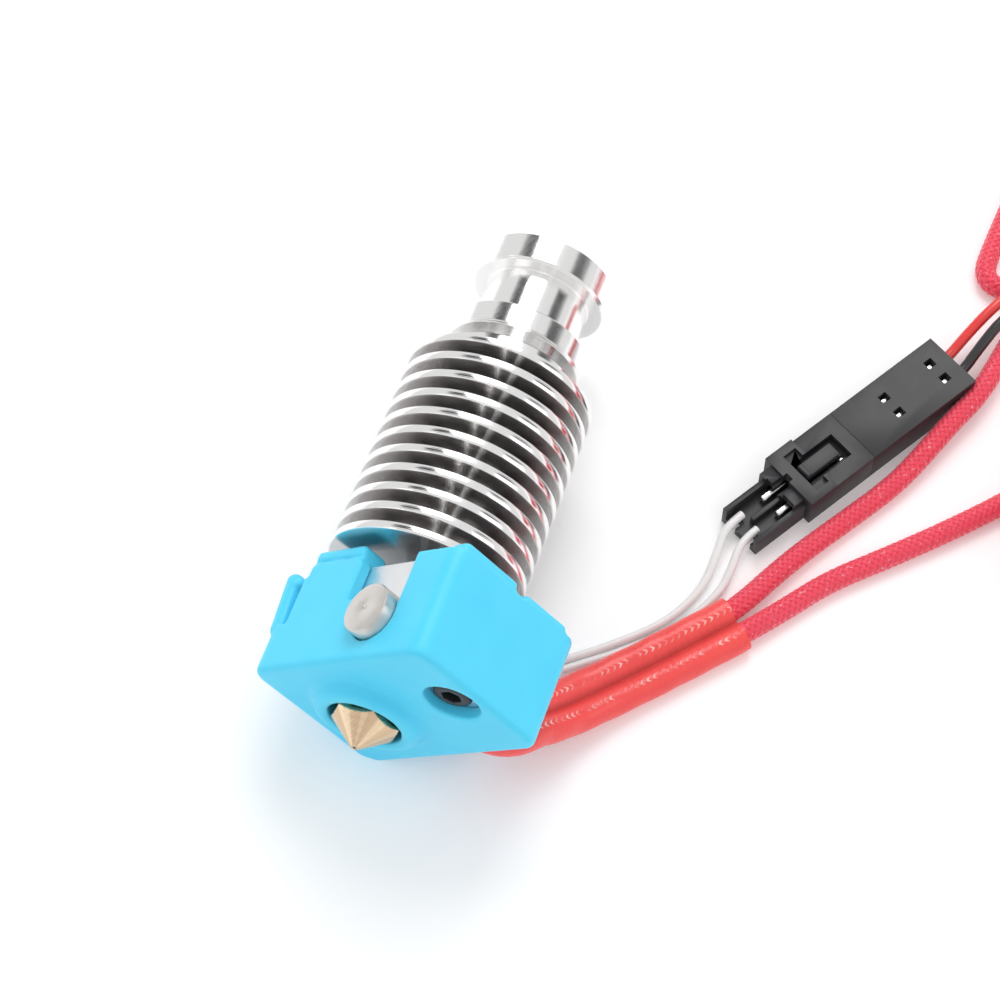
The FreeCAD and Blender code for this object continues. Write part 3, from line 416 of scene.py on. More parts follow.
@dataclass(frozen=True)
class Braid:
    """Woven glass-fibre sleeve: crossed strands with painted glints and painted shade between them, from the
    tube's own attribute.

    Args:
        name: the material's name.
        colour: linear red, green, blue of the strands.
        gap_shade: painted shade colour between the strands.
        painted_sparkle: colour of the painted glints on single fibres.
        strands: how many strands each way.
        pitch: length of one full turn, millimetres.
        deep: height of the weave, millimetres.
    """

    name: str
    colour: Point
    gap_shade: Point
    painted_sparkle: Point = (1.0, 0.55, 0.62)
    strands: int = 8
    pitch: float = 6.4
    deep: float = 0.09

    def make(self) -> bpy.types.Material:
        """Builds the material.

        Returns:
            The material.
        """
        tree = Tree.named(self.name)
        around, along, _ = tree.parts(tree.attribute("run"))
        turns = along * (1 / self.pitch)
        one = ((around + turns) * (self.strands * 2 * math.pi)).sin()
        other = ((around - turns) * (self.strands * 2 * math.pi)).sin()
        weave = (one * other).between(-0.9, 0.9)
        fibre = tree.noise(tree.stretched(tree.attribute("run"), 60.0, 4.0, 1.0), 1.0, 2.0)
        glint = tree.noise(tree.place(), 2.4, 2.0).between(0.55, 0.75)
        # Painted shade between the strands.
        colour = tree.mix(weave, self.gap_shade, tree.mix(fibre, tuple(c * 0.8 for c in self.colour), self.colour))
        # Painted glints: pale specks on single fibres where the strands cross over.
        painted_sparkle = tree.noise(tree.place(), 1.9, 1.0).between(0.66, 0.74)
        colour = tree.mix(painted_sparkle * weave * 0.8, colour, self.painted_sparkle)
        return tree.set(Base_Color=colour, Roughness=0.34 + 0.25 * fibre, Coat_Weight=0.35 * glint,
                        Coat_Roughness=0.15, Sheen_Weight=0.3, Subsurface_Weight=0.1,
                        Subsurface_Radius=(1.0, 0.3, 0.3), Subsurface_Scale=0.0006,
                        Normal=tree.bump(weave * self.deep + fibre * 0.02, 1.0, 1.0))


@dataclass(frozen=True)
class ShrunkSleeve:
    """Glossy red tube shrunk tight over the pair, the weave below just printing through, with short painted
    highlights along the ridges and painted shade in the crease.

    Args:
        name: the material's name.
        colour: linear red, green, blue.
        thread: colour of the painted highlights along the ridges.
        ridges: where the two rows of painted highlights run, as shares of the way round.
        weave_step: length of one step of the weave below, which also spaces the painted highlights,
            millimetres.
    """

    name: str
    colour: Point
    thread: Point = (1.0, 0.78, 0.72)
    ridges: Span = (0.185, 0.315)
    weave_step: float = 0.85

    def make(self) -> bpy.types.Material:
        """Builds the material.

        Returns:
            The material.
        """
        tree = Tree.named(self.name)
        around, along, _ = tree.parts(tree.attribute("run"))
        soft = tree.noise(tree.place(), 0.9, 3.0)
        # Noise that breaks up the painted highlights along the ridges.
        dash_breakup = tree.noise(tree.place(), 0.5, 2.0).between(0.35, 0.6)
        # Short slanted painted highlights along each ridge, standing in for glints off the weave.
        highlight_dashes: Value | float = 0.0
        for ridge, lean in ((self.ridges[0], 1.0), (self.ridges[1], -1.0)):
            off = (around - ridge).abs()
            slant = (along * (2 * math.pi / self.weave_step) + off * (lean * 150.0)).sin().between(0.1, 0.8)
            highlight_dashes = highlight_dashes + slant * (1.0 - off.between(0.006, 0.022))
        weave = (along * (2 * math.pi / self.weave_step)).sin() * (around * 60.0).sin()
        # Painted shade along the crease between the two lobes.
        valley_shade = 1.0 - (around - 0.25).abs().between(0.0, 0.03)
        dark = tuple(c * 0.85 for c in self.colour)
        colour = tree.mix(valley_shade * 0.75, self.colour, tuple(c * 0.45 for c in self.colour))
        # Lays the painted highlight colour along the ridges.
        colour = tree.mix(highlight_dashes * dash_breakup * 0.85, colour, self.thread)
        return tree.set(Base_Color=tree.mix(soft * 0.5, colour, dark),
                        Roughness=0.30 + 0.14 * soft, Coat_Weight=0.12, Coat_Roughness=0.15,
                        Subsurface_Weight=0.15, Subsurface_Radius=(1.2, 0.25, 0.2), Subsurface_Scale=0.0006,
                        Normal=tree.bump(highlight_dashes * 0.05 + soft * 0.05 + weave * 0.012, 0.9, 1.0))


@dataclass(frozen=True)
class Tabletop:
    """Plain, very pale table.

    Args:
        name: the material's name.
        tone: how light it is.
        glow: how much light it gives off.
    """

    name: str = "tabletop"
    tone: float = 0.92
    glow: float = 0.13

    def make(self) -> bpy.types.Material:
        """Builds the material.

        Returns:
            The material.
        """
        tree = Tree.named(self.name)
        return tree.set(Base_Color=(self.tone, self.tone, self.tone * 1.005, 1.0), Roughness=0.9,
                        Specular_IOR_Level=0.1, Emission_Color=(1.0, 1.0, 1.0, 1.0),
                        Emission_Strength=self.glow)


class Look(Enum):
    """Every finish of the hotend, built on first use."""

    # Aluminium: painted highlight streaks near the top, painted shade in the fin gaps.
    ALUMINIUM = TurnedMetal("turned_aluminium", (0.96, 0.955, 0.95),
                            painted_glints=((3.5, 3.4, 0.75), (15.5, 3.6, 0.85), (-18.0, 7.0, 0.15),
                                    (48.0, 5.0, 0.12)))
    BLOCK = Finish("block_aluminium", (0.88, 0.88, 0.89), 0.38, 1.0, grain=0.006)
    # Brass: painted highlight streaks on the cone, painted shade on the hex sides and in the bore.
    BRASS = TurnedMetal("brass", (0.98, 0.80, 0.56), 0.14, 0.11, 0.006, (0.16, 0.10, 0.06), 4.2,
                        ((40.0, 14.0, 0.5), (-35.0, 16.0, 0.6), (-80.0, 8.0, 0.6), (80.0, 10.0, 0.4),
                         (5.0, 8.0, 0.3)), (-53.68, -40.0), (0.50, 0.30, 0.17), 0.7)
    STEEL = Finish("stainless", (0.66, 0.64, 0.62), 0.28, 1.0, grain=0.003)
    CARTRIDGE = Finish("cartridge_steel", (0.72, 0.69, 0.66), 0.33, 1.0, grain=0.004, shift=0.2)
    BLACK_SCREW = Finish("screw_black", (0.035, 0.036, 0.04), 0.35, 0.6, grain=0.003)
    LINER = Finish("liner_white", (0.88, 0.88, 0.86), 0.35)
    COLLET = Finish("collet_black", (0.02, 0.02, 0.022), 0.42)
    CERAMIC = Finish("ceramic_white", (0.8, 0.77, 0.7), 0.75, grain=0.01)
    BEAD = Finish("bead_glass", (0.35, 0.12, 0.04), 0.12, coat=0.5)
    SILICONE = Silicone("silicone_blue", (0.10, 0.70, 0.97), (0.07, 0.63, 0.93))
    SLEEVE = ShrunkSleeve("sleeve_red", (0.93, 0.075, 0.07))
    BRAID = Braid("braid_red", (1.0, 0.085, 0.15), (0.85, 0.02, 0.055))
    LEAD_WHITE = Finish("lead_white", (0.86, 0.84, 0.83), 0.35, coat=0.15, grain=0.003)
    CONNECTOR = Finish("connector_black", (0.028, 0.028, 0.031), 0.46, grain=0.008, grain_scale=5.0,
                       shift=0.2)
    TERMINAL = Finish("terminal_tin", (0.78, 0.77, 0.75), 0.22, 1.0)
    WIRE_RED = Finish("insulation_red", (0.80, 0.035, 0.03), 0.22, coat=0.4, grain=0.002)
    WIRE_BLACK = Finish("insulation_black", (0.016, 0.016, 0.017), 0.24, coat=0.4, grain=0.002)
    BAND = Finish("band_grey", (0.11, 0.11, 0.115), 0.5)
    FERRULE = Finish("ferrule_tin", (0.74, 0.73, 0.72), 0.25, 1.0)
    TABLE = Tabletop()

    @property
    def material(self) -> bpy.types.Material:
        """The Blender material of this finish."""
        found = bpy.data.materials.get(self.value.name + "_finish")
        return found or self.value.make()


# ---------------------------------------------------------------- mesh building
def linked(name: str, data: bpy.types.ID | None) -> bpy.types.Object:
    """A new object in the scene.

    Args:
        name: the object's name.
        data: its mesh, curve, light or camera.

    Returns:
        The object, at the origin.
    """
    made = bpy.data.objects.new(name, data)
    bpy.context.scene.collection.objects.link(made)
    return made


def centreline(name: str, points: Sequence[Vector], resolution: int = 0) -> bpy.types.Object:
    """A curve object along points.

    Args:
        name: the object's name.
        points: control points, millimetres.
        resolution: steps between two points of a smooth curve; 0 goes straight from point to point.

    Returns:
        The curve object.
    """
    data = bpy.data.curves.new(name, "CURVE")
    data.dimensions = "3D"
    if resolution:
        data.resolution_u = resolution
    spline = data.splines.new("NURBS" if resolution else "POLY")
    spline.points.add(len(points) - 1)
    for point, place in zip(spline.points, points):
        point.co = (*(place * MM), 1.0)
    if resolution:
        spline.order_u = 3
        spline.use_endpoint_u = True
    return linked(name, data)


def sampled(curve: bpy.types.Object) -> list[Vector]:
    """Reads a curve's points and removes it.

    Args:
        curve: the curve object.

    Returns:
        Its points in order, millimetres.
    """
    graph = bpy.context.evaluated_depsgraph_get()
    mesh = bpy.data.meshes.new_from_object(curve.evaluated_get(graph), depsgraph=graph)
    line = [v.co / MM for v in mesh.vertices]
    bpy.data.objects.remove(curve)
    return line


class Shape:
    """Vertices in millimetres and faces, gathered piece by piece and made into one object at the origin."""

    def __init__(self) -> None:
        """Starts empty."""
        self.verts: list[Vector] = []
        self.faces: list[tuple[int, ...]] = []
        self.run: list[Point] = []

    def _take(self, verts: Iterable, faces: Iterable, at: Matrix = WORLD) -> None:
        """Adds vertices and the faces between them.

        Args:
            verts: the vertices.
            faces: the faces, as indices into verts.
            at: where they stand.
        """
        first = len(self.verts)
        self.verts += [at @ Vector(v) for v in verts]
        self.faces += [tuple(first + i for i in face) for face in faces]

    def lathe(self, outline: Sequence[Span], segments: int = 96, at: Matrix = WORLD,
              radius_of: Callable[[float, float, float], float] | None = None) -> "Shape":
        """Turns a closed outline of (radius, height) about Z.

        Args:
            outline: points in order, anticlockwise with the radius to the right.
            segments: how many facets round.
            at: where the turned piece stands.
            radius_of: changes a radius from (radius, height, angle), for flats.

        Returns:
            The shape, so that calls can follow one another.
        """
        verts, faces, rings = [], [], []
        for r, z in outline:
            if r < 1e-6:
                rings.append([len(verts)])
                verts.append((0.0, 0.0, z))
                continue
            rings.append(list(range(len(verts), len(verts) + segments)))
            for k in range(segments):
                a = 2 * math.pi * k / segments
                rr = radius_of(r, z, a) if radius_of else r
                verts.append((rr * math.cos(a), rr * math.sin(a), z))
        for low, high in zip(rings, rings[1:] + rings[:1]):
            for k in range(segments):
                n = (k + 1) % segments
                if len(low) == 1 and len(high) == 1:
                    break
                if len(low) == 1:
                    faces.append((low[0], high[n], high[k]))
                elif len(high) == 1:
                    faces.append((low[k], low[n], high[0]))
                else:
                    faces.append((low[k], low[n], high[n], high[k]))
        self._take(verts, faces, at)
        return self

    def _take_mesh(self, bm: bmesh.types.BMesh, at: Matrix = WORLD) -> None:
        """Adds a BMesh's faces and frees it.

        Args:
            bm: the mesh; it is freed.
            at: where it stands.
        """
        bm.verts.index_update()
        self._take([v.co.copy() for v in bm.verts], [[v.index for v in f.verts] for f in bm.faces], at)
        bm.free()

    def box(self, x: Span, y: Span, z: Span, bevel: float = 0.0, at: Matrix = WORLD) -> "Shape":
        """Adds a box, with round edges if it has a bevel.

        Args:
            x: its two ends on X.
            y: its two ends on Y.
            z: its two ends on Z.
            bevel: radius of its edges.
            at: where it stands.

        Returns:
            The shape, so that calls can follow one another.
        """
        bm = bmesh.new()
        bmesh.ops.create_cube(bm, size=1.0)
        for v in bm.verts:
            v.co = Vector([sum(ends) / 2 + part * (ends[1] - ends[0]) for part, ends in zip(v.co, (x, y, z))])
        if bevel > 0:
            bmesh.ops.bevel(bm, geom=bm.edges[:], offset=bevel, segments=3, profile=0.5, affect="EDGES")
        self._take_mesh(bm, at)
        return self

    def sweep(self, line: Sequence[Vector], ring_of: Callable[[float, float], list[Span]],
              up: Vector | None = None) -> "Shape":
        """Sweeps a closed ring along a line, keeping how far round and along each point is.

        Args:
            line: the centreline.
            ring_of: the ring's points from the length so far and the whole length.
            up: a fixed upward side for the ring; without one the ring turns as little as it can.

        Returns:
            The shape, so that calls can follow one another.
        """
        lengths = [0.0]
        for a, b in zip(line, line[1:]):
            lengths.append(lengths[-1] + (b - a).length)
        verts, faces, side = [], [], None
        count = len(ring_of(0.0, lengths[-1]))
        for i, p in enumerate(line):
            ahead = (line[min(i + 1, len(line) - 1)] - line[max(i - 1, 0)]).normalized()
            if up is not None:
                side = up.cross(ahead).normalized()
            elif side is None:
                side = ahead.orthogonal().normalized()
            else:
                side = (side - ahead * side.dot(ahead)).normalized()
            rise = ahead.cross(side)
            ring = ring_of(lengths[i], lengths[-1])
            for k, (s, t) in enumerate(ring):
                verts.append(p + side * s + rise * t)
                self.run.append((k / count, lengths[i], 0.0))
        for i in range(len(line) - 1):
            for k in range(count):
                n = (k + 1) % count
                faces.append((i * count + k, i * count + n, (i + 1) * count + n, (i + 1) * count + k))
        faces.append(tuple(reversed(range(count))))
        last = (len(line) - 1) * count
        faces.append(tuple(range(last, last + count)))
        self._take(verts, faces)
        return self

    def object(self, name: str, look: Look | None, at: Matrix = WORLD,
               smooth: float = SMOOTH_ANGLE) -> bpy.types.Object:
        """Makes the object, in metres, with its normals outwards.

        Args:
            name: the piece's name.
            look: its finish, if it has one yet.
            at: where it stands.
            smooth: angle above which an edge stays sharp, degrees.

        Returns:
            The object.
        """
        mesh = bpy.data.meshes.new(name)
        mesh.from_pydata([(at @ v) * MM for v in self.verts], [], self.faces)
        bm = bmesh.new()
        bm.from_mesh(mesh)
        bmesh.ops.recalc_face_normals(bm, faces=bm.faces[:])
        bm.to_mesh(mesh)
        bm.free()
        if self.run and len(self.run) == len(self.verts):
            attribute = mesh.attributes.new("run", "FLOAT_VECTOR", "POINT")
            attribute.data.foreach_set("vector", [c for p in self.run for c in p])
        mesh.shade_smooth()
        mesh.set_sharp_from_angle(angle=math.radians(smooth))
        if look is not None:
            mesh.materials.append(look.material)
        return linked(name, mesh)


def baked(obj: bpy.types.Object) -> bpy.types.Object:
    """Turns an object with modifiers into a plain mesh object of the same name.

    Args:
        obj: the object; it is removed.

    Returns:
        The plain object.
    """
    graph = bpy.context.evaluated_depsgraph_get()
    mesh = bpy.data.meshes.new_from_object(obj.evaluated_get(graph), depsgraph=graph)
    name = obj.name
    bpy.data.objects.remove(obj)
    return linked(name, mesh)


def modify(obj: bpy.types.Object, kind: str, **settings: object) -> None:
    """Adds a modifier to an object and sets its properties.

    Args:
        obj: the object.
        kind: the modifier's type.
        settings: its properties.
    """
    step = obj.modifiers.new(kind.lower(), kind)
    for key, value in settings.items():
        setattr(step, key, value)


def carved(name: str, add: Sequence[Shape], remove: Sequence[Shape], look: Look, at: Matrix,
           bevel: float = 0.0, voxel: float = 0.0, relax: int = 0, smooth: float = SMOOTH_ANGLE,
           late: Sequence[Shape] = ()) -> bpy.types.Object:
    """Joins and cuts shapes, then rounds the result.

    Args:
        name: the piece's name.
        add: shapes joined together.
        remove: shapes cut away.
        look: its finish.
        at: where it stands.
        bevel: width of a bevel on sharp edges, millimetres.
        voxel: grain of a remesh, millimetres, for a soft moulded look.
        relax: smoothing passes after the remesh.
        smooth: angle above which an edge stays sharp.
        late: shapes joined after the cuts.

    Returns:
        The finished piece.
    """
    made = add[0].object(name, None, at)
    tools = [(s.object("tool", None, at), "UNION") for s in add[1:]]
    tools += [(s.object("tool", None, at), "DIFFERENCE") for s in remove]
    tools += [(s.object("tool", None, at), "UNION") for s in late]
    for tool, operation in tools:
        modify(made, "BOOLEAN", operation=operation, solver="EXACT", object=tool)
    if voxel > 0:
        modify(made, "REMESH", mode="VOXEL", voxel_size=voxel * MM)
        modify(made, "SMOOTH", factor=0.5, iterations=relax)
    if bevel > 0:
        modify(made, "BEVEL", width=bevel * MM, segments=2, limit_method="ANGLE",
               angle_limit=math.radians(40))
        modify(made, "WEIGHTED_NORMAL", keep_sharp=True)
    made = baked(made)
    for tool, _ in tools:
        bpy.data.objects.remove(tool)
    made.data.materials.clear()
    made.data.materials.append(look.material)
    made.data.shade_smooth()
    made.data.set_sharp_from_angle(angle=math.radians(smooth))
    return made


# ---------------------------------------------------------------- geometry nodes
class Nodes(Wiring):
    """A geometry node group being built, with named inputs."""

    def __init__(self, name: str, **inputs: float | int) -> None:
        """Makes the group and its sockets.

        Args:
            name: the group's name.
            inputs: the group's named inputs with the values they get.
        """
        self.group = bpy.data.node_groups.new(name, "GeometryNodeTree")
        super().__init__(self.group)
        face = self.group.interface
        face.new_socket(name="Geometry", in_out="INPUT", socket_type="NodeSocketGeometry")
        for key, value in inputs.items():
            kind = "NodeSocketInt" if isinstance(value, int) else "NodeSocketFloat"
            face.new_socket(name=key, in_out="INPUT", socket_type=kind)
        face.new_socket(name="Geometry", in_out="OUTPUT", socket_type="NodeSocketGeometry")
        self.given = self.add("NodeGroupInput").outputs
        self.sink = self.add("NodeGroupOutput")
        self.values = inputs

    def math(self, operation: str, *values: bpy.types.NodeSocket | float) -> bpy.types.NodeSocket:
        """A maths node's output."""
        return self.add("ShaderNodeMath", {"operation": operation}, *values).outputs[0]

    def product(self, *values: bpy.types.NodeSocket | float) -> bpy.types.NodeSocket:
        """The product of two or more values.

        Args:
            values: links or numbers.

        Returns:
            The product.
        """
        total = values[0]
        for value in values[1:]:
            total = self.math("MULTIPLY", total, value)
        return total

    def vector(self, operation: str, *values: bpy.types.NodeSocket) -> bpy.types.NodeSocket:
        """A vector maths node's output."""
        return self.add("ShaderNodeVectorMath", {"operation": operation}, *values).outputs[0]

    def scaled(self, vector: bpy.types.NodeSocket, scale: bpy.types.NodeSocket) -> bpy.types.NodeSocket:
        """A vector times a number."""
        return self.add("ShaderNodeVectorMath", {"operation": "SCALE"}, vector, Scale=scale).outputs[0]

    def finish(self, geometry: bpy.types.NodeSocket, look: Look) -> None:
        """Realises instances, sets the material and ends the group.

        Args:
            geometry: what the group has made.
            look: its finish.
        """
        real = self.add("GeometryNodeRealizeInstances", Geometry=geometry)
        dressed = self.add("GeometryNodeSetMaterial", Geometry=real.outputs[0], Material=look.material)
        self.feed(self.sink.inputs[0], dressed.outputs[0])

    def apply(self, obj: bpy.types.Object) -> bpy.types.Object:
        """Runs the group on an object and bakes the result.

        Args:
            obj: the object that is the group's geometry.

        Returns:
            The plain mesh object that takes its place.
        """
        step = obj.modifiers.new(self.group.name, "NODES")
        step.node_group = self.group
        names = {s.name: s.identifier for s in self.group.interface.items_tree if s.in_out == "INPUT"}
        for key, value in self.values.items():
            step[names[key]] = value
        return baked(obj)


def stacked(name: str, fin: Shape, count: int, step_mm: float, look: Look, at: Matrix) -> bpy.types.Object:
    """Repeats a fin up the hotend's axis with geometry nodes.

    Args:
        name: the piece's name.
        fin: one fin.
        count: how many fins.
        step_mm: distance from fin to fin.
        look: their finish.
        at: where the first one stands.

    Returns:
        The fins as one mesh object.
    """
    nodes = Nodes(name + "_nodes", Count=count, Step=step_mm * MM)
    offset = nodes.add("ShaderNodeCombineXYZ", Y=nodes.given["Step"])
    line = nodes.add("GeometryNodeMeshLine", {"mode": "OFFSET"}, Count=nodes.given["Count"],
                     Offset=offset.outputs[0])
    copies = nodes.add("GeometryNodeInstanceOnPoints", Points=line.outputs[0],
                       Instance=nodes.given["Geometry"])
    nodes.finish(copies.outputs[0], look)
    made = nodes.apply(fin.object(name, look, at))
    made.data.set_sharp_from_angle(angle=math.radians(SMOOTH_ANGLE))
    return made


def braided(curve: bpy.types.Object, way: int, strands: int, pitch: float, radius: float,
            ripple: float, wide: float, look: Look) -> bpy.types.Object:
    """Winds one set of a braid's strands along a curve, going over and under the other set.

    Args:
        curve: the braid's centreline, which has the piece's name.
        way: 1 or -1 for the two hands of winding.
        strands: how many strands in the set.
        pitch: length of one full turn, millimetres.
        radius: distance of the strands from the centreline, millimetres.
        ripple: how far they go over and under, millimetres.
        wide: half their width, millimetres.
        look: their finish.

    Returns:
        The strands as one mesh object.
    """
    nodes = Nodes(curve.name + "_nodes", Strands=strands, Pitch=pitch * MM, Radius=radius * MM,
                  Ripple=ripple * MM, Wide=wide * MM, Step=0.22 * MM, Way=float(way))
    given = nodes.given
    fine = nodes.add("GeometryNodeResampleCurve", {"mode": "LENGTH"}, Curve=given["Geometry"],
                     Length=given["Step"])
    copies = nodes.add("GeometryNodeDuplicateElements", {"domain": "SPLINE"}, Geometry=fine.outputs[0],
                       Amount=given["Strands"])
    length = nodes.add("GeometryNodeSplineParameter").outputs["Length"]
    turns = nodes.math("DIVIDE", length, given["Pitch"])
    share = nodes.math("DIVIDE", copies.outputs["Duplicate Index"], given["Strands"])
    angle = nodes.product(nodes.math("ADD", share, nodes.product(turns, given["Way"])), 2 * math.pi)
    wave = nodes.math("COSINE", nodes.product(turns, given["Strands"], 2 * math.pi))
    reach = nodes.math("ADD", given["Radius"], nodes.product(wave, given["Way"], given["Ripple"]))
    normal = nodes.add("GeometryNodeInputNormal").outputs[0]
    tangent = nodes.add("GeometryNodeInputTangent").outputs[0]
    side = nodes.vector("CROSS_PRODUCT", tangent, normal)
    outward = nodes.vector("ADD", nodes.scaled(normal, nodes.math("COSINE", angle)),
                           nodes.scaled(side, nodes.math("SINE", angle)))
    kept = nodes.add("GeometryNodeCaptureAttribute", {"domain": "POINT"}, Geometry=copies.outputs[0])
    kept.capture_items.new("VECTOR", "Outward")
    nodes.feed(kept.inputs["Outward"], outward)
    moved = nodes.add("GeometryNodeSetPosition", Geometry=kept.outputs[0],
                      Offset=nodes.scaled(kept.outputs["Outward"], reach))
    turned = nodes.add("GeometryNodeSetCurveNormal", {"mode": "FREE"}, Curve=moved.outputs[0],
                       Normal=kept.outputs["Outward"])
    ring = nodes.add("GeometryNodeCurvePrimitiveCircle", {"mode": "RADIUS"}, Resolution=6, Radius=1.0)
    size = nodes.add("ShaderNodeCombineXYZ", X=nodes.product(given["Wide"], 0.36), Y=given["Wide"], Z=1.0)
    flat = nodes.add("GeometryNodeTransform", Geometry=ring.outputs[0], Scale=size.outputs[0])
    mesh = nodes.add("GeometryNodeCurveToMesh", Curve=turned.outputs[0], Profile_Curve=flat.outputs[0],
                     Fill_Caps=True)
    nodes.finish(mesh.outputs[0], look)
    return nodes.apply(curve)


# ---------------------------------------------------------------- heat sink and filament path
@dataclass
class HeatSink:
    """Finned heat sink, its push-fit ring, collet, liner tube and heat break."""

    low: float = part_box("heat_sink")[0].y / MM
    top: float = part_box("heat_sink")[1].y / MM
    fin_radius: float = 11.0
    fin_thick: float = 1.0
    fin_pitch: float = 2.5
    fin_root: float = 3.52
    fin_count: int = 11
    flange: float = 8.0
    edge: float = 0.16

    def build(self) -> list[Piece]:
        """Builds the pieces; each comes with its body and material slot.

        Returns:
            The pieces.
        """
        low, top, e, f = self.low, self.top, self.edge, self.flange
        core = Shape().lathe([
            (3.5, low + 0.04), (6.6, low + 0.04), (4.75, -8.5), (f - e, -8.5), (f, -8.5 + e),
            (f, -7.5 - e), (f - e, -7.5), (4.6, -7.5), (4.6, -6.0), (f - 0.3, -6.0), (f, -5.7),
            (f, -3.3), (f - 0.3, -3.0), (6.15, -3.0),
            (6.0, -2.85), (6.0, 2.85), (6.15, 3.0), (f - 0.3, 3.0), (f, 3.3), (f, top - 0.3), (f - 0.3, top),
            (4.0, top), (4.0, top - 6.8), (2.05, top - 6.8), (2.05, low + 10.0), (3.5, low + 10.0)], 160, HOT)
        core_piece = core.object("heat_sink_core", Look.ALUMINIUM)
        fr = self.fin_radius
        fin = Shape().lathe([(self.fin_root, low), (fr - e, low), (fr - e * 0.3, low + e * 0.3),
                             (fr, low + e), (fr, low + self.fin_thick - e),
                             (fr - e * 0.3, low + self.fin_thick - e * 0.3),
                             (fr - e, low + self.fin_thick), (self.fin_root, low + self.fin_thick)], 160)
        fins = stacked("heat_sink_fins", fin, self.fin_count, self.fin_pitch, Look.ALUMINIUM, HOT)
        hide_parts("heat_sink")
        ring = Shape().lathe([(2.9, top - 4.5), (4.0, top - 4.5), (4.0, top - 0.15), (3.85, top),
                              (3.05, top), (2.9, top - 0.15)], 96)
        ring_piece = ring.object("collet_ring_turned", Look.BRASS, HOT)
        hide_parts("collet_ring")
        face = top + 1.0
        collet = Shape().lathe([(2.05, face - 5), (2.85, face - 5), (2.85, face), (3.5, face),
                                (3.7, face + 0.2), (3.7, face + 1.0), (3.5, face + 1.2),
                                (2.25, face + 1.2), (2.05, face + 1.0)], 96)
        slits = [Shape().box((-4, 4), (-0.3, 0.3), (face - 6, face - 2)),
                 Shape().box((-0.3, 0.3), (-4, 4), (face - 6, face - 2))]
        collet_piece = carved("collet_moulded", [collet], slits, Look.COLLET, HOT)
        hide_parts("collet")
        tube_low, tube_top = low + 5.0, face + 1.6
        tube = Shape().lathe([(1.0, tube_low), (2.0, tube_low), (2.0, tube_top - 0.08), (1.92, tube_top),
                              (1.08, tube_top), (1.0, tube_top - 0.08)], 64)
        tube_piece = tube.object("liner_tube_drawn", Look.LINER, HOT)
        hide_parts("liner_tube")
        return [(core_piece, "hotend", "turned_aluminium"), (fins, "hotend", "turned_aluminium"),
                (ring_piece, "hotend", "brass"), (collet_piece, "collet", "collet_black"),
                (tube_piece, "hotend", "liner_white"), (self.heat_break(), "hotend", "stainless")]

    def heat_break(self) -> bpy.types.Object:
        """Threaded tube with its thin neck, thread turns on both ends.

        Returns:
            The piece.
        """
        low = self.low
        block_top = low - 3.3
        outline = [(1.0, block_top - 5.0), (2.8, block_top - 5.0)]
        outline += self.thread(block_top - 4.8, block_top - 0.2, 2.98, 1.0)
        outline += [(1.5, block_top), (1.5, low), (3.3, low)]
        outline += self.thread(low + 0.2, low + 9.8, 3.48, 1.0)
        outline += [(3.3, low + 10.0), (2.05, low + 10.0), (2.05, low + 5.0), (1.0, low + 5.0)]
        made = Shape().lathe(outline, 64).object("heat_break_turned", Look.STEEL, HOT)
        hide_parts("heat_break")
        return made

    @staticmethod
    def thread(low: float, high: float, radius: float, pitch: float) -> list[Span]:
        """The zigzag side of a screw thread.

        Args:
            low: where it starts.
            high: where it ends.
            radius: its outer radius.
            pitch: distance from turn to turn.

        Returns:
            Points of radius and height, from low to high.
        """
        points, z = [], low
        while z + pitch <= high + 1e-6:
            points += [(radius - 0.35, z), (radius, z + pitch * 0.4), (radius, z + pitch * 0.6)]
            z += pitch
        return points


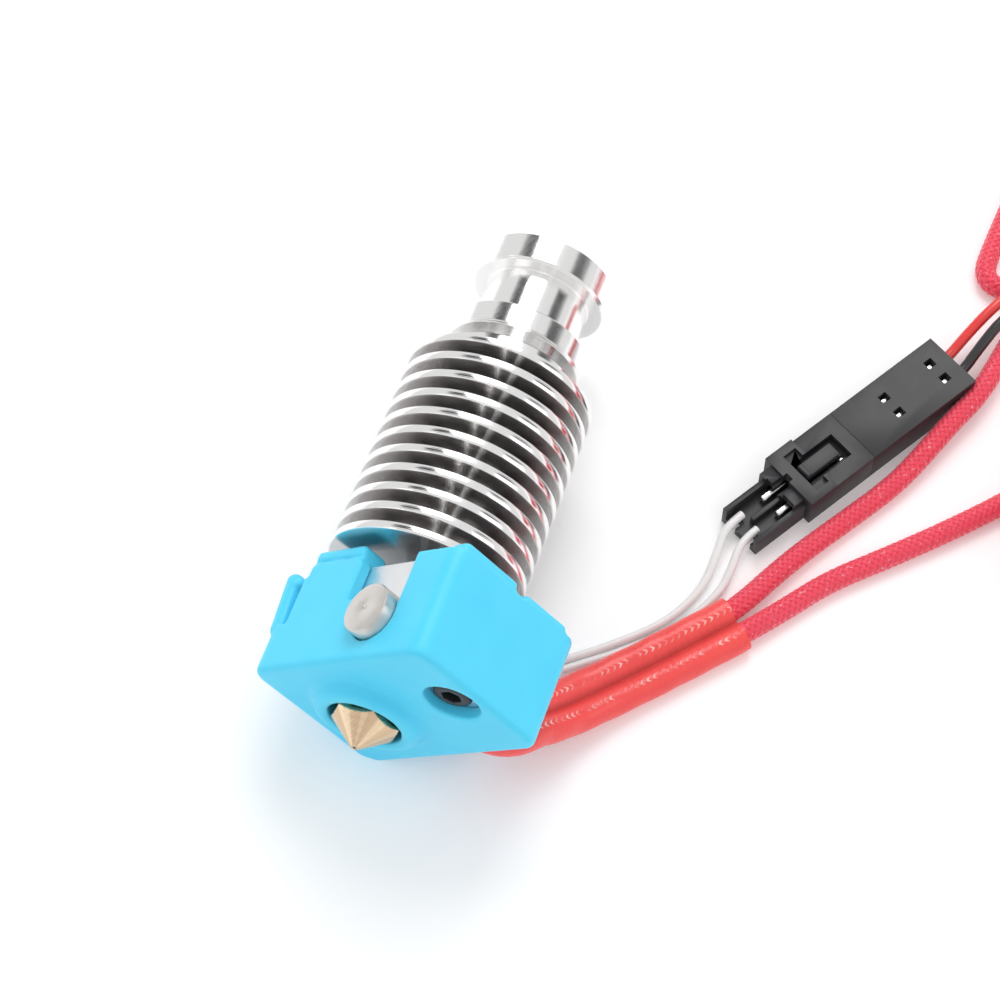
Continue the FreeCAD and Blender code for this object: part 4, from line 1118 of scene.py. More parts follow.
# ---------------------------------------------------------------- hot block
@dataclass
class HotBlock:
    """Nozzle, heater cartridge, clamp screw and the heater block's dress."""

    block_low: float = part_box("heater_block")[0].y / MM
    block_top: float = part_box("heater_block")[1].y / MM
    hex_flat: float = 7.0
    cartridge_x: float = 7.4
    clamp_x: float = 12.4

    def build(self) -> list[Piece]:
        """Builds the pieces; each comes with its body and material slot."""
        return [(self.nozzle(), "hotend", "brass"), (self.cartridge(), "hotend", "stainless"),
                (self.clamp(), "hotend", "screw_black")]

    def nozzle(self) -> bpy.types.Object:
        """Hexagon with turned corners, polished cone and a fine orifice.

        Returns:
            The piece.
        """
        top = self.block_low - 0.7
        low, half = top - 2.2, self.hex_flat / 2
        corner = half / math.cos(math.pi / 6)

        def flat(r: float, z: float, a: float) -> float:
            """A radius cut back to the hexagon at an angle."""
            part = (a + math.pi / 6) % (math.pi / 3) - math.pi / 6
            return min(r, half / math.cos(part))

        tip = low - 3.0
        shares = (0.0, 0.06, 0.2, 0.4, 0.6, 0.8, 0.84, 0.88, 0.91, 0.94, 0.97)
        cone = [(0.5 + (corner - 0.5) * t, tip + 3.0 * t) for t in shares]
        outline = [(0.2, tip), *cone, (corner, low), (corner, low + 0.4), (corner, top - 0.5),
                   (corner - 0.3, top), (2.98, top),
                   (2.98, self.block_top - 5.0), (1.0, self.block_top - 5.0), (1.0, tip + 1.6),
                   (0.2, tip + 0.6)]
        made = Shape().lathe(outline, 192, WORLD, flat).object("nozzle_turned", Look.BRASS, HOT, 18.0)
        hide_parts("nozzle")
        return made

    def cartridge(self) -> bpy.types.Object:
        """Ground steel shell with its faced end and centre dimple.

        Returns:
            The piece.
        """
        along = Matrix.Translation((self.cartridge_x, -11.0, self.block_low + 4.0)) @ Matrix.Rotation(
            math.radians(-90), 4, "X")
        outline = [(0.0, 0.28), (0.12, 0.2), (0.34, 0.03), (0.42, 0.0), (2.72, 0.0), (2.9, 0.07), (3.0, 0.25),
                   (3.0, 19.7), (2.85, 20.0), (2.6, 20.0), (2.6, 1.2), (0.0, 1.2)]
        made = Shape().lathe(outline, 128, along).object("cartridge_shell_ground", Look.CARTRIDGE, HOT, 30.0)
        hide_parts("cartridge_shell")
        return made

    def clamp(self) -> bpy.types.Object:
        """Low-headed black screw with a hexagon socket.

        Returns:
            The piece.
        """
        low = self.block_low + 0.9 - 1.6
        at = Matrix.Translation((self.clamp_x, 0, 0))
        solid = Shape().lathe([(0.0, low), (1.75, low), (2.05, low + 0.12), (2.2, low + 0.4),
                               (2.2, low + 1.6), (1.5, low + 1.6), (1.5, low + 9.6),
                               (0.0, low + 9.6)], 72, at)
        socket = Shape().lathe([(0.0, low - 1), (1.16, low - 1), (1.16, low + 1.0), (0.0, low + 1.4)], 6, at)
        made = carved("clamp_screw_head", [solid], [socket], Look.BLACK_SCREW, HOT, bevel=0.05)
        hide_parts("clamp_screw")
        return made


@dataclass
class Sock:
    """Silicone sock: soft-edged cup with gripping lips, a boss round the nozzle, and openings."""

    low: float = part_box("heater_block")[0].y / MM - 1.5
    block_low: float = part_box("heater_block")[0].y / MM
    block_top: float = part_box("heater_block")[1].y / MM
    x: Span = (-9.95, 16.95)
    y: Span = (-9.6, 9.9)
    inner_x: Span = (-8.0, 15.0)
    inner_y: Span = (-8.0, 8.0)
    grain: float = 0.2

    def build(self) -> list[Piece]:
        """Builds the piece with its body and material slot.

        Returns:
            The pieces.
        """
        low, top = self.low, self.block_top
        add = [self.cup(), self.boss(), *self.lips()]
        late = self.finger()
        cuts = [Shape().box(self.inner_x, self.inner_y, (self.block_low, top + 0.02)), *self.openings()]
        made = carved("silicone_sock_moulded", add, cuts, Look.SILICONE, HOT, voxel=self.grain, relax=5,
                      smooth=80, late=late)
        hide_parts("silicone_sock")
        return [(made, "hotend", "silicone_blue")]

    def cup(self) -> Shape:
        """The outside of the cup, its upright corners rounder than its bottom edge.

        Returns:
            The shape.
        """
        bm = bmesh.new()
        bmesh.ops.create_cube(bm, size=1.0)
        for v in bm.verts:
            height = self.low if v.co.z < 0 else self.block_top
            v.co = Vector((self.x[v.co.x > 0], self.y[v.co.y > 0], height))
        upright = [e for e in bm.edges if abs(e.verts[0].co.z - e.verts[1].co.z) > 1]
        bmesh.ops.bevel(bm, geom=upright, offset=1.9, segments=8, profile=0.5, affect="EDGES")
        bottom = [e for e in bm.edges if max(v.co.z for v in e.verts) < self.low + 0.01
                  and len(e.link_faces) == 2
                  and abs(e.link_faces[0].normal.z - e.link_faces[1].normal.z) > 0.5]
        bmesh.ops.bevel(bm, geom=bottom, offset=0.7, segments=4, profile=0.5, affect="EDGES")
        shape = Shape()
        shape._take_mesh(bm)
        return shape

    def boss(self) -> Shape:
        """The raised ring round the nozzle.

        Returns:
            The shape.
        """
        s = self.low
        return Shape().lathe([(0.0, s + 0.6), (0.0, s - 1.5), (4.3, s - 1.5), (4.8, s - 1.7), (5.4, s - 1.6),
                              (5.9, s - 1.25), (6.2, s - 0.7), (6.5, s - 0.3), (6.9, s - 0.08),
                              (7.4, s + 0.03), (7.4, s + 0.6)], 96)

    def lips(self) -> list[Shape]:
        """Tabs on the screw end and lugs on the sides that hook over the block.

        Returns:
            The shapes.
        """
        t = self.block_top
        end = (14.3, self.x[1] - 0.15)
        return [
            Shape().box(end, (-8.6, -0.4), (t - 0.8, t + 1.1), 0.45),
            Shape().box(end, (1.1, 7.8), (t - 0.8, t + 0.8), 0.45),
            Shape().box((-6.7, 1.2), (self.y[0] + 0.02, -5.9), (t - 0.02, t + 2.15), 0.55),
            Shape().box((-3.2, 3.2), (5.8, self.y[1] - 0.02), (t - 0.02, t + 2.0), 0.5),
        ]

    def finger(self) -> list[Shape]:
        """The free finger at the thermistor corner, leaning outwards, with its hooked tip.

        Returns:
            The shapes.
        """
        t = self.block_top
        lean = Matrix.Translation((-9.0, -8.5, t - 7.6)) @ Matrix.Rotation(math.radians(-7), 4, "Y")
        return [Shape().box((-0.85, 1.05), (-1.1, 1.0), (-0.6, 7.5), 0.75, lean),
                Shape().box((-0.3, 1.8), (-0.95, 0.9), (5.5, 6.6), 0.45, lean)]

    def openings(self) -> list[Shape]:
        """Everything cut through the walls.

        Returns:
            The shapes to cut away.
        """
        low, t = self.low, self.block_top
        across = Matrix.Rotation(math.radians(-90), 4, "X")
        heater_z = self.block_low + 4.0
        front = Matrix.Translation((7.4, -10.6, heater_z)) @ across
        rear = Matrix.Translation((7.4, 7.9, heater_z)) @ across
        therm = Matrix.Translation((-5.5, 7.9, self.block_low + 5.75)) @ across
        tall = t + 4
        return [
            Shape().lathe([(0, low - 2), (4.2, low - 2), (4.2, low + 2.5), (0, low + 2.5)], 72),
            Shape().lathe([(0, low - 1), (3.25, low - 1), (3.0, low + 2.5), (0, low + 2.5)], 64,
                          Matrix.Translation((12.85, 0.0, 0))),
            Shape().lathe([(0, 0), (3.12, 0), (3.12, 2.65), (0, 2.65)], 64, front),
            Shape().box((1.7, 10.4), (-10.7, -7.95), (heater_z + 2.4, tall)),
            Shape().box((3.2, 10.4), (-10.7, -7.95), (heater_z + 0.8, heater_z + 3.0), 0.6),
            Shape().lathe([(0, 0), (3.15, 0), (3.15, 2.65), (0, 2.65)], 64, rear),
            Shape().box((4.25, 10.55), (7.95, 10.7), (heater_z + 0.1, tall)),
            Shape().lathe([(0, 0), (1.65, 0), (1.65, 2.65), (0, 2.65)], 40, therm),
            Shape().box((-7.15, -3.85), (7.95, 10.7), (self.block_low + 5.8, tall)),
            Shape().box((-11.0, -8.0), (-10.7, 5.0), (t - 7.1, tall)),
            Shape().box((-8.1, -7.1), (-10.7, -7.9), (t - 7.1, tall)),
            Shape().box((-7.4, -6.6), (-10.7, -8.4), (t - 1.2, tall)),
            Shape().box((-6.9, 2.1), (-10.7, self.y[0] + 0.34), (t + 0.5, t + 0.9)),
        ]


# ---------------------------------------------------------------- connector
@dataclass
class Connector:
    """Plug housing with its shroud, socket housing with its latch, and the metal terminals."""

    way: float = 1.27
    up: float = 1.9
    high: float = 4.3
    wide: Span = (-3.75, 3.85)
    start: float = 9.85
    end: float = 25.15

    def build(self) -> list[Piece]:
        """Builds the pieces; each comes with its body and material slot.

        Returns:
            The pieces.
        """
        return [(self.plug(), "hotend", "connector_black"), (self.socket(), "hotend", "connector_black"),
                (self.latch(), "latch", "connector_black"), (self.pins(), "hotend", "terminal_tin"),
                (self.receptacles(), "hotend", "terminal_tin")]

    def plug(self) -> bpy.types.Object:
        """Shroud, its band, and the open terminal part with ribs and pads.

        Returns:
            The piece.
        """
        h = self.high
        add = [Shape().box((0, 9.8), self.wide, (0, h)),
               Shape().box((0.02, 4.0), (-3.72, 4.15), (0.02, h + 0.02)),
               Shape().box((-7.5, 0.3), (-2.9, 2.9), (0.01, 2.9)),
               Shape().box((-1.6, 0.3), (1.45, 3.3), (0.02, 3.7)),
               Shape().box((-1.6, 0.3), (-2.4, -0.35), (0.02, 3.7))]
        cuts = [Shape().box((1.4, 10.5), (-2.75, 2.75), (0.75, 3.55)),
                Shape().box((-8.5, -1.3), (-2.3, 2.3), (1.15, 5.0)),
                Shape().box((1.72, 8.05), (-1.75, 1.75), (2.6, 5.5)),
                Shape().box((1.72, 3.6), (-2.7, 3.0), (3.75, 5.5)),
                Shape().box((-3.4, 0.6), (0.1, 1.15), (2.3, 5.0))]
        for side in (-1, 1):
            y = side * self.way
            cuts += [Shape().box((-2.2, 2.4), (y - 0.82, y + 0.82), (1.08, 2.72)),
                     Shape().box((-8.3, -6.3), (y - 0.62, y + 0.62), (-0.3, 1.6))]
        made = carved("plug_housing_moulded", add, cuts, Look.CONNECTOR, CONNECTOR, bevel=0.1, smooth=30)
        rib = Shape().box((-5.6, -1.4), (-0.3, 0.3), (0.4, 2.3), 0.1)
        ribs = [made, rib.object("rib", Look.CONNECTOR, CONNECTOR)]
        return joined("plug_housing_moulded", ribs, "plug_housing")

    def socket(self) -> bpy.types.Object:
        """Socket housing: block, nose inside the shroud, terminal windows.

        Returns:
            The piece.
        """
        h = self.high
        add = [Shape().box((self.start, self.end + 0.8), self.wide, (0, h)),
               Shape().box((1.6, self.start + 1), (-2.67, 2.67), (0.83, 3.18))]
        cuts = [Shape().box((1.7, 7.7), (-1.1, 1.1), (2.72, 4.0))]
        for side in (-1, 1):
            y = side * self.way
            cuts.append(Shape().box((1.0, 26.5), (y - 0.85, y + 0.85), (1.05, 2.75)))
            for x in (self.end - 1.7, self.end - 9.0):
                cuts.append(Shape().box((x - 0.58, x + 0.58), (y + 0.1 - 0.55, y + 0.1 + 0.55), (2.6, 5.0)))
        made = carved("socket_housing_moulded", add, cuts, Look.CONNECTOR, CONNECTOR, bevel=0.1, smooth=30)
        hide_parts("socket_housing")
        return made

    def latch(self) -> bpy.types.Object:
        """Latch arm with a thumb ridge and its root.

        Returns:
            The piece.
        """
        root = Matrix.Translation((6.95, -0.95, 3.5)) @ Matrix.Rotation(math.radians(-90), 4, "X")
        shapes = [Shape().box((1.95, 6.95), (-0.95, 0.95), (3.65, 4.62), 0.14),
                  Shape().box((1.98, 2.5), (-0.9, 0.9), (4.3, 4.75), 0.12),
                  Shape().lathe([(0, 0), (0.5, 0), (0.5, 1.9), (0, 1.9)], 32, root)]
        made = joined("latch_lever_moulded", [s.object("latch", Look.CONNECTOR, CONNECTOR) for s in shapes],
                      "latch_lever")
        return made

    def pins(self) -> bpy.types.Object:
        """Crimped pins in the plug housing.

        Returns:
            The piece.
        """
        pieces = []
        for side in (-1, 1):
            y, z = side * self.way, self.up
            pieces += [Shape().box((-2.9, -1.6), (y - 0.42, y + 0.42), (z - 0.5, z + 0.3), 0.2),
                       Shape().box((-2.55, 7.7), (y - 0.32, y + 0.32), (z - 0.32, z + 0.32), 0.08)]
        return joined("plug_terminals_stamped",
                      [p.object("pin", Look.TERMINAL, CONNECTOR) for p in pieces], "plug_terminals")

    def receptacles(self) -> bpy.types.Object:
        """Folded receptacles, seen through the windows.

        Returns:
            The piece.
        """
        pieces = []
        for side in (-1, 1):
            y, z = side * self.way, self.up
            pieces += [Shape().box((5.35, 17.35), (y - 0.8, y + 0.8), (z - 0.8, z + 0.8), 0.12),
                       Shape().box((15.6, 16.8), (y - 0.35, y + 0.55), (z + 0.6, z + 1.75), 0.3),
                       Shape().box((22.9, 24.1), (y - 0.5, y + 0.5), (z - 0.6, z + 1.7), 0.3)]
        return joined("socket_terminals_stamped",
                      [p.object("shell", Look.TERMINAL, CONNECTOR) for p in pieces], "socket_terminals")


def joined(name: str, objects: list[bpy.types.Object], *nodes: str) -> bpy.types.Object:
    """Joins mesh objects into one piece that stands for CAD nodes.

    Args:
        name: the piece's name.
        objects: its parts; they are removed.
        nodes: the CAD nodes that it replaces.

    Returns:
        The piece.
    """
    mesh = bpy.data.meshes.new(name)
    bm = bmesh.new()
    for obj in objects:
        bm.from_mesh(obj.data)
    bm.to_mesh(mesh)
    bm.free()
    mesh.materials.append(objects[0].data.materials[0])
    for obj in objects:
        bpy.data.objects.remove(obj)
    mesh.shade_smooth()
    mesh.set_sharp_from_angle(angle=math.radians(30))
    made = linked(name, mesh)
    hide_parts(*nodes)
    return made


# ---------------------------------------------------------------- leads
AWAY = (HOT.to_3x3() @ Vector((0, 1, 0))).normalized()
SLEEVE_UP = Vector((0.25, 0.05, 1.0)).normalized()


def hot_point(x: float, y: float, z: float) -> Vector:
    """A point of the upright hot end, laid down with it."""
    return HOT @ Vector((x, y, z))


def connector_point(x: float, y: float, z: float) -> Vector:
    """A point of the connector's own frame, where it lies."""
    return CONNECTOR @ Vector((x, y, z))


def above_table(x: float, y: float, height: float) -> Vector:
    """A point at a height above the table."""
    return Vector((x, y, FLOOR + height))


@dataclass
class Coil:
    """Where and how a lead's unused length is wound."""

    x: float
    y: float
    heading: float
    leaves: float
    middle: float
    layers: int
    levels: int
    radius: float
    low: float = 0.45
    step: float = 20.0

    @property
    def turn(self) -> float:
        """Distance between neighbouring turns."""
        return 2 * self.radius + 0.1

    @property
    def wind(self) -> float:
        """Radius of the outermost turn."""
        return self.middle + (self.layers - 1) * self.turn / 2

    def points(self) -> list[Vector]:
        """Control points of the whole winding, clockwise, from its entry to where the end leaves.

        Returns:
            The control points, millimetres.
        """
        whole = self.layers * self.levels - 1
        total = 360.0 * whole + (self.heading - self.leaves) % 360.0
        moves = []
        place, way = [0, 0], 1
        for turn in range(whole):
            edge = place[0] + way
            if 0 <= edge < self.layers:
                moves.append((turn, "in", place[0], edge))
                place[0] = edge
            else:
                moves.append((turn, "up", place[1], place[1] + 1))
                place[1] += 1
                way = -way
        points, angle = [], 0.0
        stretch = 1 / math.cos(math.radians(self.step / 2))
        while angle < total - 1e-6:
            points.append(self.at(angle, moves, stretch))
            angle += self.step
        points.append(self.at(total, moves, 1.0))
        return points

    def at(self, angle: float, moves: list, stretch: float) -> Vector:
        """The winding's point at an angle from its entry.

        Args:
            angle: degrees turned since the entry.
            moves: the turns where the lead moves in a layer or up a level.
            stretch: how much the radius grows, so that the curve between points keeps it.

        Returns:
            The point, millimetres.
        """
        layer, level = 0.0, 0.0
        for turn, kind, before, after in moves:
            first = 360.0 * turn + (290.0 if kind == "in" else 320.0)
            share = min(max((angle - first) / 35.0, 0.0), 1.0)
            if angle >= first:
                if kind == "in":
                    layer = before + (after - before) * share
                else:
                    level = before + (after - before) * share
        radius = (self.wind - layer * self.turn) * stretch
        turned = math.radians(self.heading + 90 - angle)
        height = self.low + self.turn / 2 + level * self.turn
        return above_table(self.x + radius * math.cos(turned), self.y + radius * math.sin(turned), height)

    def away(self) -> list[Vector]:
        """The short straight end after the last turn.

        Returns:
            Two points, millimetres.
        """
        turned = math.radians(self.leaves)
        along = Vector((math.cos(turned), math.sin(turned), 0))
        inward = Vector((along.y, -along.x, 0))
        height = self.low + (self.levels - 0.5) * self.turn
        outer = self.wind + self.turn / 2
        reach = math.sqrt(outer ** 2 - self.wind ** 2) + 0.5
        base = above_table(self.x, self.y, height) - inward * self.wind
        return [base + along * reach * 0.6, base + along * (reach + 0.6)]


@dataclass
class Lead:
    """A free lead: its chosen points, and its coil if it has one."""

    name: str
    radius: float
    points: list[Vector]
    look: Look
    slot: str
    coil: Coil | None = None
    segments: int = 14
    line: list[Vector] = field(default_factory=list)

    def curve(self) -> bpy.types.Object:
        """The lead's centreline as a NURBS curve.

        Returns:
            The curve object.
        """
        controls = list(self.points)
        if self.coil:
            controls += self.coil.points() + self.coil.away()
        return centreline(self.name + "_line", controls, 6)

    def build(self) -> bpy.types.Object:
        """Sweeps the lead along its line.

        Returns:
            The tube.
        """
        line = sampled(self.curve())
        self.line = [line[0]] + [b for a, b in zip(line, line[1:]) if (b - a).length > 1e-4]
        ring = [(self.radius * math.cos(2 * math.pi * k / self.segments),
                 self.radius * math.sin(2 * math.pi * k / self.segments)) for k in range(self.segments)]
        tube = Shape().sweep(self.line, lambda s, whole: ring)
        return tube.object(self.name + "_lead", self.look, smooth=60)

    @property
    def length(self) -> float:
        """Length of the line, millimetres."""
        return sum((b - a).length for a, b in zip(self.line, self.line[1:]))

    def part(self, start: float, end: float) -> list[Vector]:
        """The line between two lengths along it.

        Args:
            start: where it starts, millimetres.
            end: where it ends, millimetres.

        Returns:
            Its points, millimetres.
        """
        out, run = [], 0.0
        for a, b in zip(self.line, self.line[1:]):
            if start <= run <= end:
                out.append(a)
            run += (b - a).length
        return out


SLEEVE_STATIONS = [(16.3, -44.1, 5.6, 128), (18.6, -40.6, 3.0, 135), (22.4, -35.9, 1.75, 138),
                   (27.5, -30.2, 1.45, 138), (32.9, -24.0, 1.45, 142)]
HEATER_A_ROUTE = [(36.3, -14.1, 1.2), (40.4, -7.7, 1.2), (44.7, -1.0, 1.3), (46.8, 3.6, 1.7),
                  (48.8, 8.9, 2.1), (51.0, 13.7, 2.3), (52.2, 19.6, 2.2), (53.0, 24.2, 1.7),
                  (54.4, 28.2, 1.3), (52.2, 30.5, 1.2), (49.2, 29.5, 1.2), (47.1, 31.2, 1.2),
                  (47.3, 35.4, 1.2), (47.8, 41.6, 1.4), (48.6, 49.0, 1.6)]
HEATER_B_ROUTE = [(37.4, -20.4, 1.2), (41.2, -15.2, 1.2), (46.6, -10.1, 1.2), (52.0, -4.7, 1.2),
                  (57.2, 0.9, 1.3)]
THERMISTOR_A_ROUTE = [(6.0, -42.0, 0.6), (10.6, -38.0, 0.55), (15.9, -34.3, 0.55), (21.2, -30.0, 0.55),
                      (25.6, -25.6, 0.55), (28.0, -20.4, 0.65), (28.2, -15.6, 1.3)]
THERMISTOR_B_ROUTE = [(6.4, -43.4, 0.6), (11.6, -39.2, 0.55), (16.9, -34.8, 0.55), (22.4, -30.6, 0.55),
                      (27.4, -25.3, 0.55), (30.0, -20.4, 0.65), (30.4, -16.8, 1.3)]
EXTENSION_RED_ROUTE = [(47.3, 20.2, 2.9), (49.7, 25.2, 4.3), (53.2, 30.6, 4.6), (58.0, 35.4, 3.0),
                       (63.2, 38.4, 1.4)]
EXTENSION_BLACK_ROUTE = [(49.3, 19.0, 3.2), (51.3, 24.2, 4.6), (55.3, 27.9, 4.8), (61.0, 29.0, 3.2),
                         (67.3, 25.6, 1.3), (75.6, 22.6, 0.9), (86.0, 21.9, 1.0)]


@dataclass
class Harness:
    """All the leads, the sleeve over the heater pair, and what is on their far ends."""

    heater_radius: float = 1.15
    heater_pitch: float = 2.7
    thermistor_radius: float = 0.5
    extension_radius: float = 0.65
    strands: int = 8
    strand_pitch: float = 6.4
    strand_ripple: float = 0.055
    strand_wide: float = 0.3
    braid_start: float = 31.0
    braid_end: float = 150.0
    sleeve_half_wide: float = 3.3
    sleeve_half_high: float = 1.62
    sleeve_ridge: float = 1.68
    sleeve_web: float = 0.72
    sleeve_flare_end: float = 7.0

    def station(self, station: tuple, side: int) -> Vector:
        """One heater lead's point at a station of the pair.

        Args:
            station: place, height above the table, and the way across the pair in degrees.
            side: 1 or -1 for the two leads.

        Returns:
            The point.
        """
        x, y, height, lateral = station
        reach = side * self.heater_pitch / 2
        turned = math.radians(lateral)
        return above_table(x + reach * math.cos(turned), y + reach * math.sin(turned), height)

    def heater_points(self, side: int, route: list) -> list[Vector]:
        """A heater lead's points from the cartridge to its coil.

        Args:
            side: 1 or -1 for the two leads.
            route: places and heights above the table.

        Returns:
            The points.
        """
        block_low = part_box("heater_block")[0].y / MM
        start = hot_point(7.4, 9.0, block_low + 4.0) + Vector((0, side * self.heater_pitch / 2, 0))
        return [start, start + AWAY * 2.6, *(self.station(s, side) for s in SLEEVE_STATIONS),
                *(above_table(*p) for p in route)]

    def thermistor_points(self, side: int, route: list) -> list[Vector]:
        """A thermistor lead's points from its sleeve to its terminal.

        Args:
            side: 1 or -1 for the two leads.
            route: places and heights above the table.

        Returns:
            The points.
        """
        start = hot_point(-5.5, 8.0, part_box("heater_block")[0].y / MM + 5.75) + Vector((0, side * 0.55, 0))
        return [start, start + AWAY * 2.6, *(above_table(*p) for p in route),
                connector_point(-8.5, side * Connector.way, Connector.up),
                connector_point(-5.9, side * Connector.way, Connector.up)]

    def extension_points(self, side: int, route: list) -> list[Vector]:
        """An extension lead's points from its terminal to its coil.

        Args:
            side: 1 or -1 for the two leads.
            route: places and heights above the table.

        Returns:
            The points.
        """
        return [connector_point(17.35, side * Connector.way, Connector.up),
                connector_point(26.15, side * Connector.way, 2.0),
                *(above_table(*p) for p in route)]

    def leads(self) -> list[Lead]:
        """Every lead with its chosen points.

        Returns:
            The leads, not yet built.
        """
        hr, tr, er = self.heater_radius, self.thermistor_radius, self.extension_radius
        return [
            Lead("heater_lead_a", hr, self.heater_points(1, HEATER_A_ROUTE), Look.BRAID, "braid_red",
                 Coil(64.55, 60.9, 80.0, 10.0, 12.0, 3, 4, hr), 18),
            Lead("heater_lead_b", hr, self.heater_points(-1, HEATER_B_ROUTE), Look.BRAID, "braid_red",
                 Coil(76.65, 1.2, 50.0, -120.0, 12.0, 3, 4, hr), 18),
            Lead("extension_lead_red", er, self.extension_points(1, EXTENSION_RED_ROUTE), Look.WIRE_RED,
                 "insulation_red", Coil(78.8, 36.0, 35.0, 20.0, 7.6, 5, 4, er), 12),
            Lead("extension_lead_black", er, self.extension_points(-1, EXTENSION_BLACK_ROUTE),
                 Look.WIRE_BLACK, "insulation_black", Coil(102.0, 13.2, 6.0, -30.0, 7.6, 5, 4, er), 12),
            Lead("thermistor_lead_a", tr, self.thermistor_points(1, THERMISTOR_A_ROUTE), Look.LEAD_WHITE,
                 "lead_white", None, 16),
            Lead("thermistor_lead_b", tr, self.thermistor_points(-1, THERMISTOR_B_ROUTE), Look.LEAD_WHITE,
                 "lead_white", None, 16),
        ]

    def build(self, connector: list[bpy.types.Object]) -> list[Piece]:
        """Args:
            connector: the connector's pieces, which the thermistor leads end in; not used.

        Returns:
            The pieces.
        """
        pieces = []
        for lead in self.leads():
            tube = lead.build()
            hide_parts(lead.name)
            pieces.append((tube, "hotend", lead.slot))
            path = [tuple(p * MM) for p in lead.line]
            if lead.coil is None:
                lead.length * MM
                2 * lead.radius * MM
                continue
            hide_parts(lead.name + "_coil")
            ends = [self.band(lead), self.ferrule(lead)]
            pieces += [(ends[0], "hotend", "band_grey"), (ends[1], "hotend", "ferrule_tin")]
            lead.length * MM
            2 * lead.radius * MM
            LOG.info("%s is %.0f mm long", lead.name, lead.length)
            if lead.look is Look.BRAID:
                pieces += self.weave(lead)
        pieces.append((self.sleeve(), "hotend", "sleeve_red"))
        return pieces

    def weave(self, lead: Lead) -> list[Piece]:
        """Real strands over the seen part of a heater lead.

        Args:
            lead: the heater lead.

        Returns:
            The strands of both hands.
        """
        out = []
        line = lead.part(self.braid_start, self.braid_end)
        for way, word in ((1, "right"), (-1, "left")):
            curve = centreline(f"{lead.name}_braid_{word}", line)
            strands = braided(curve, way, self.strands, self.strand_pitch, lead.radius - 0.02,
                              self.strand_ripple, self.strand_wide, Look.BRAID)
            strands.data.shade_smooth()
            out.append((strands, "hotend", lead.slot))
        return out

    def sleeve(self) -> bpy.types.Object:
        """The tube shrunk over both heater leads, wider than high, with a ridge over each lead.

        Returns:
            The piece.
        """
        start = hot_point(7.4, 9.3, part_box("heater_block")[0].y / MM + 4.0)
        middles = [start, start + AWAY * 2.2]
        middles += [above_table(x, y, max(height, self.sleeve_half_high))
                    for x, y, height, _ in SLEEVE_STATIONS]
        line = sampled(centreline("sleeve_line", middles, 14))
        rng = random.Random(7)
        waves = [rng.uniform(0.0, 6.28) for _ in range(4)]

        def ring(s: float, whole: float) -> list[Span]:
            """The sleeve's outline.

            Args:
                s: how far along the sleeve.
                whole: the sleeve's length; not used.

            Returns:
                Points across the pair and upwards.
            """
            out = []
            for k in range(64):
                a = 2 * math.pi * k / 64
                x = self.sleeve_half_wide * math.copysign(abs(math.cos(a)) ** 0.85, math.cos(a))
                lobe = math.sqrt(max(self.sleeve_half_high ** 2 - (abs(x) - self.sleeve_ridge) ** 2, 0.0))
                y = max(lobe, self.sleeve_web if abs(x) < 1.0 else 0.0) * math.copysign(1, math.sin(a))
                y = y if abs(math.sin(a)) > 1e-6 else 0.0
                x *= 1 + 0.6 * max(0.0, 1 - s / self.sleeve_flare_end) if x < 0 else 1
                crease = 0.03 * math.sin(s * 1.3 + waves[k % 4] * 0.1 + a * 3)
                out.append((x * (1 + crease * 0.3), y * (1 + crease)))
            return out

        made = Shape().sweep(line, ring, SLEEVE_UP).object("lead_sleeve_shrunk", Look.SLEEVE, smooth=60)
        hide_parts("lead_sleeve")
        return made

    def band(self, lead: Lead) -> bpy.types.Object:
        """Flat tie round one side of a coil.

        Args:
            lead: the lead whose coil it holds.

        Returns:
            The piece.
        """
        coil = lead.coil
        inner, outer = coil.middle - coil.layers * coil.turn / 2, coil.middle + coil.layers * coil.turn / 2
        high = coil.levels * coil.turn
        near = math.sqrt(inner ** 2 - 2.25) - 0.1
        turned = Matrix.Rotation(math.radians(coil.heading - 160), 4, "Z")
        at = Matrix.Translation((coil.x, coil.y, FLOOR)) @ turned
        add = [Shape().box((near - 0.35, outer + 0.45), (-1.5, 1.5), (0.0, high + 0.9), 0.25),
               Shape().box((outer - 0.2, outer + 0.75), (-0.9, 0.9), (high * 0.45, high * 0.7), 0.2)]
        hole = Shape().box((near, outer + 0.1), (-3, 3), (0.35, high + 0.55))
        made = carved(lead.name + "_tie", add, [hole], Look.BAND, at, bevel=0.06)
        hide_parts(lead.name + "_band")
        return made

    def ferrule(self, lead: Lead) -> bpy.types.Object:
        """Crimped ferrule with its collar at a lead's free end.

        Args:
            lead: the lead that it ends.

        Returns:
            The piece.
        """
        coil = lead.coil
        end = lead.line[-1]
        turned = math.radians(coil.leaves)
        along = Vector((math.cos(turned), math.sin(turned), 0))
        at = Matrix.Translation(end - along * 0.3) @ along.to_track_quat("Z", "Y").to_matrix().to_4x4()
        collar, tube = lead.radius + 0.33, lead.radius * 0.6
        outline = [(0, 0.0), (collar - 0.1, 0.0), (collar, 0.15), (collar, 4.6), (tube + 0.05, 6.0),
                   (tube, 6.3)]
        for k in range(6):
            z = 7.2 + k * 0.9
            outline += [(tube, z), (tube - 0.12, z + 0.15), (tube - 0.12, z + 0.45), (tube, z + 0.6)]
        outline += [(tube, 13.6), (tube - 0.1, 13.75), (0, 13.75)]
        made = Shape().lathe(outline, 28, at).object(lead.name + "_crimp", Look.FERRULE)
        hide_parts(lead.name + "_ferrule")
        return made


# ---------------------------------------------------------------- stage
SKY_STRENGTH = 0.78
CARD_DARK = 0.92


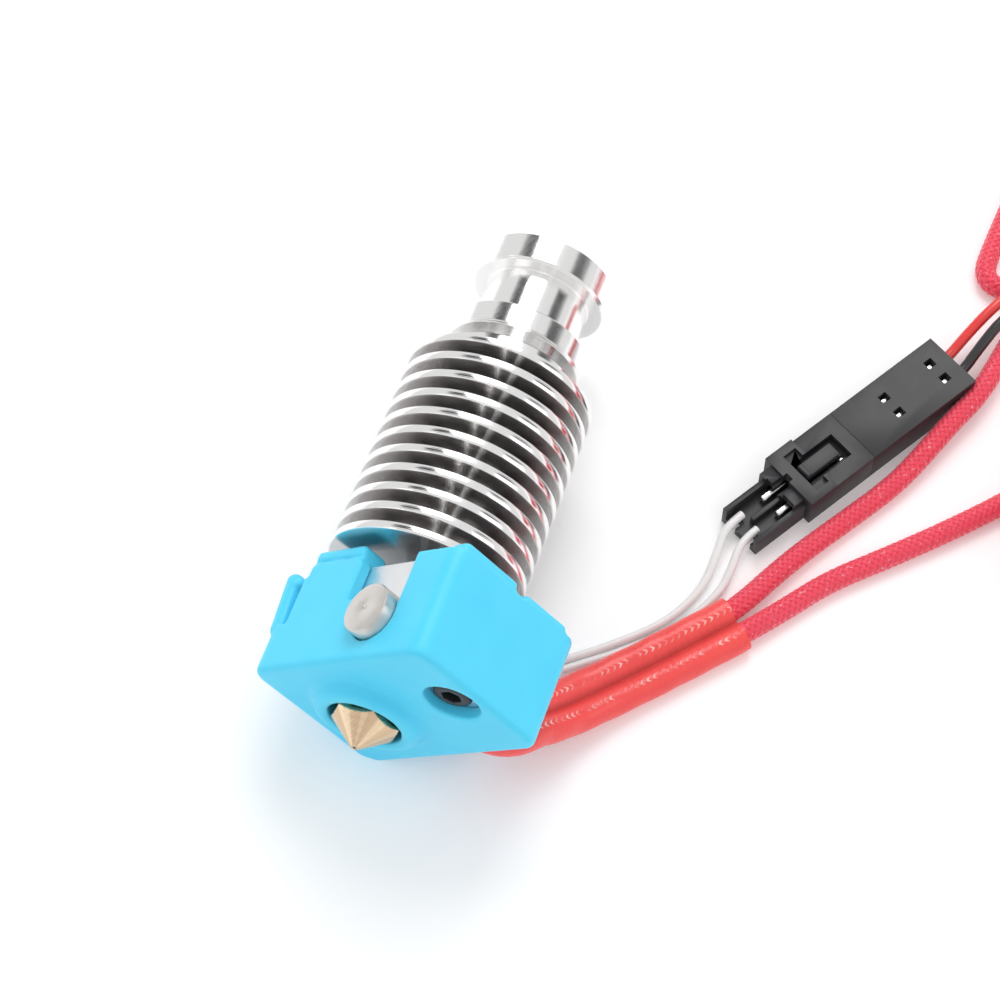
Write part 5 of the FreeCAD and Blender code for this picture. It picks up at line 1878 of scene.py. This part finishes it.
@dataclass
class Studio:
    """Table, soft lights and the camera."""

    eye: Point = (56.09, -170.343, 278.658)
    right: Point = (0.94383, 0.33043, 0.0)
    up: Point = (-0.28842, 0.82385, 0.48794)
    focus: float = 2883.73

    def build(self) -> None:
        """Makes the camera first, then the lights, the table and the surroundings."""
        scene = bpy.context.scene
        lens = bpy.data.cameras.new("camera")
        lens.sensor_width = 36.0
        lens.lens = self.focus * 36.0 / 1000.0
        lens.dof.use_dof = False
        lens.clip_start, lens.clip_end = 0.01, 20.0
        camera = linked("camera", lens)
        right, up = Vector(self.right).normalized(), Vector(self.up)
        back = right.cross(up).normalized()
        up = back.cross(right)
        turned = Matrix((right, up, back)).transposed().to_4x4()
        camera.matrix_world = Matrix.Translation(Vector(self.eye) * MM) @ turned
        scene.camera = camera
        self.lamp("key", (-0.05, 0.42, 0.62), (0.02, -0.01, 0.0), 0.4, 2.4)
        self.lamp("fill", (-0.55, -0.25, 0.45), (0.02, -0.02, 0.0), 0.45, 0.4)
        self.lamp("side", (0.6, 0.1, 0.4), (0.02, -0.01, 0.0), 0.35, 0.5)
        world = bpy.data.worlds.new("surroundings")
        self.sky(world)
        scene.world = world
        scene.view_settings.view_transform = "Standard"
        mesh = bpy.data.meshes.new("table")
        z = FLOOR * MM
        mesh.from_pydata([(-3, -3, z), (3, -3, z), (3, 3, z), (-3, 3, z)], [], [(0, 1, 2, 3)])
        mesh.materials.append(Look.TABLE.material)
        linked("table", mesh)

    @staticmethod
    def sky(world: bpy.types.World) -> None:
        """Even white surroundings with a few dark cards high up, for the metal to mirror.

        Args:
            world: the world to light.
        """
        tree = Tree(world)
        shade = tree.nodes["Background"]
        way = Value(tree, tree.add("ShaderNodeTexCoord").outputs["Generated"])
        light: Value | float = 1.0
        for place, near, far in (((-0.49, 0.46, 0.74), 0.985, 0.975), ((-0.2, 0.62, 0.76), 0.995, 0.99),
                                 ((0.75, 0.45, 0.48), 0.985, 0.97)):
            node = tree.add("ShaderNodeVectorMath", {"operation": "DOT_PRODUCT"}, way,
                            Vector(place).normalized())
            light = light * (1.0 - Value(tree, node.outputs["Value"]).between(far, near) * CARD_DARK)
        tree.feed(shade.inputs["Strength"], light * SKY_STRENGTH)
        tree.feed(shade.inputs["Color"], (1.0, 1.0, 1.0, 1.0))

    @staticmethod
    def lamp(name: str, place: Point, target: Point, size: float, power: float) -> None:
        """A square soft light aimed at a point.

        Args:
            name: the light's name.
            place: where it hangs, metres.
            target: what it points at, metres.
            size: length of its side, metres.
            power: watts.
        """
        data = bpy.data.lights.new(name, "AREA")
        data.size = size
        data.energy = power
        aim = Vector(target) - Vector(place)
        at = Matrix.Translation(place) @ aim.to_track_quat("-Z", "Y").to_matrix().to_4x4()
        linked(name, data).matrix_world = at


KEPT_CAD = {"heater_block": (Look.BLOCK, "block_aluminium"),
            "cartridge_core": (Look.CERAMIC, "ceramic_white"),
            "cartridge_end_plug": (Look.CERAMIC, "ceramic_white"),
            "thermistor_sleeve": (Look.STEEL, "stainless"),
            "thermistor_potting": (Look.CERAMIC, "ceramic_white"),
            "thermistor_bead": (Look.BEAD, "bead_glass"),
            "thermistor_grub_screw": (Look.STEEL, "stainless")}


def dress_kept_nodes() -> None:
    """Gives the CAD nodes that stay in sight their finish."""
    for name, (look, slot) in KEPT_CAD.items():
        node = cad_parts[name]
        node.data.materials.clear()
        node.data.materials.append(look.material)
        node.data.shade_smooth()
        node.data.set_sharp_from_angle(angle=math.radians(30))


def main() -> None:
    """Builds the whole scene and writes how large it is."""
    logging.basicConfig(level=logging.INFO)
    Studio().build()
    connector = Connector().build()
    pieces = list(connector)
    pieces += Harness().build([piece for piece, _, _ in connector])
    pieces += HeatSink().build()
    pieces += HotBlock().build()
    pieces += Sock().build()
    for piece, body, slot in pieces:
        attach(piece, body)
        LOG.info("%s: %d faces", piece.name, len(piece.data.polygons))
    dress_kept_nodes()


if __name__ == "__main__":
    main()
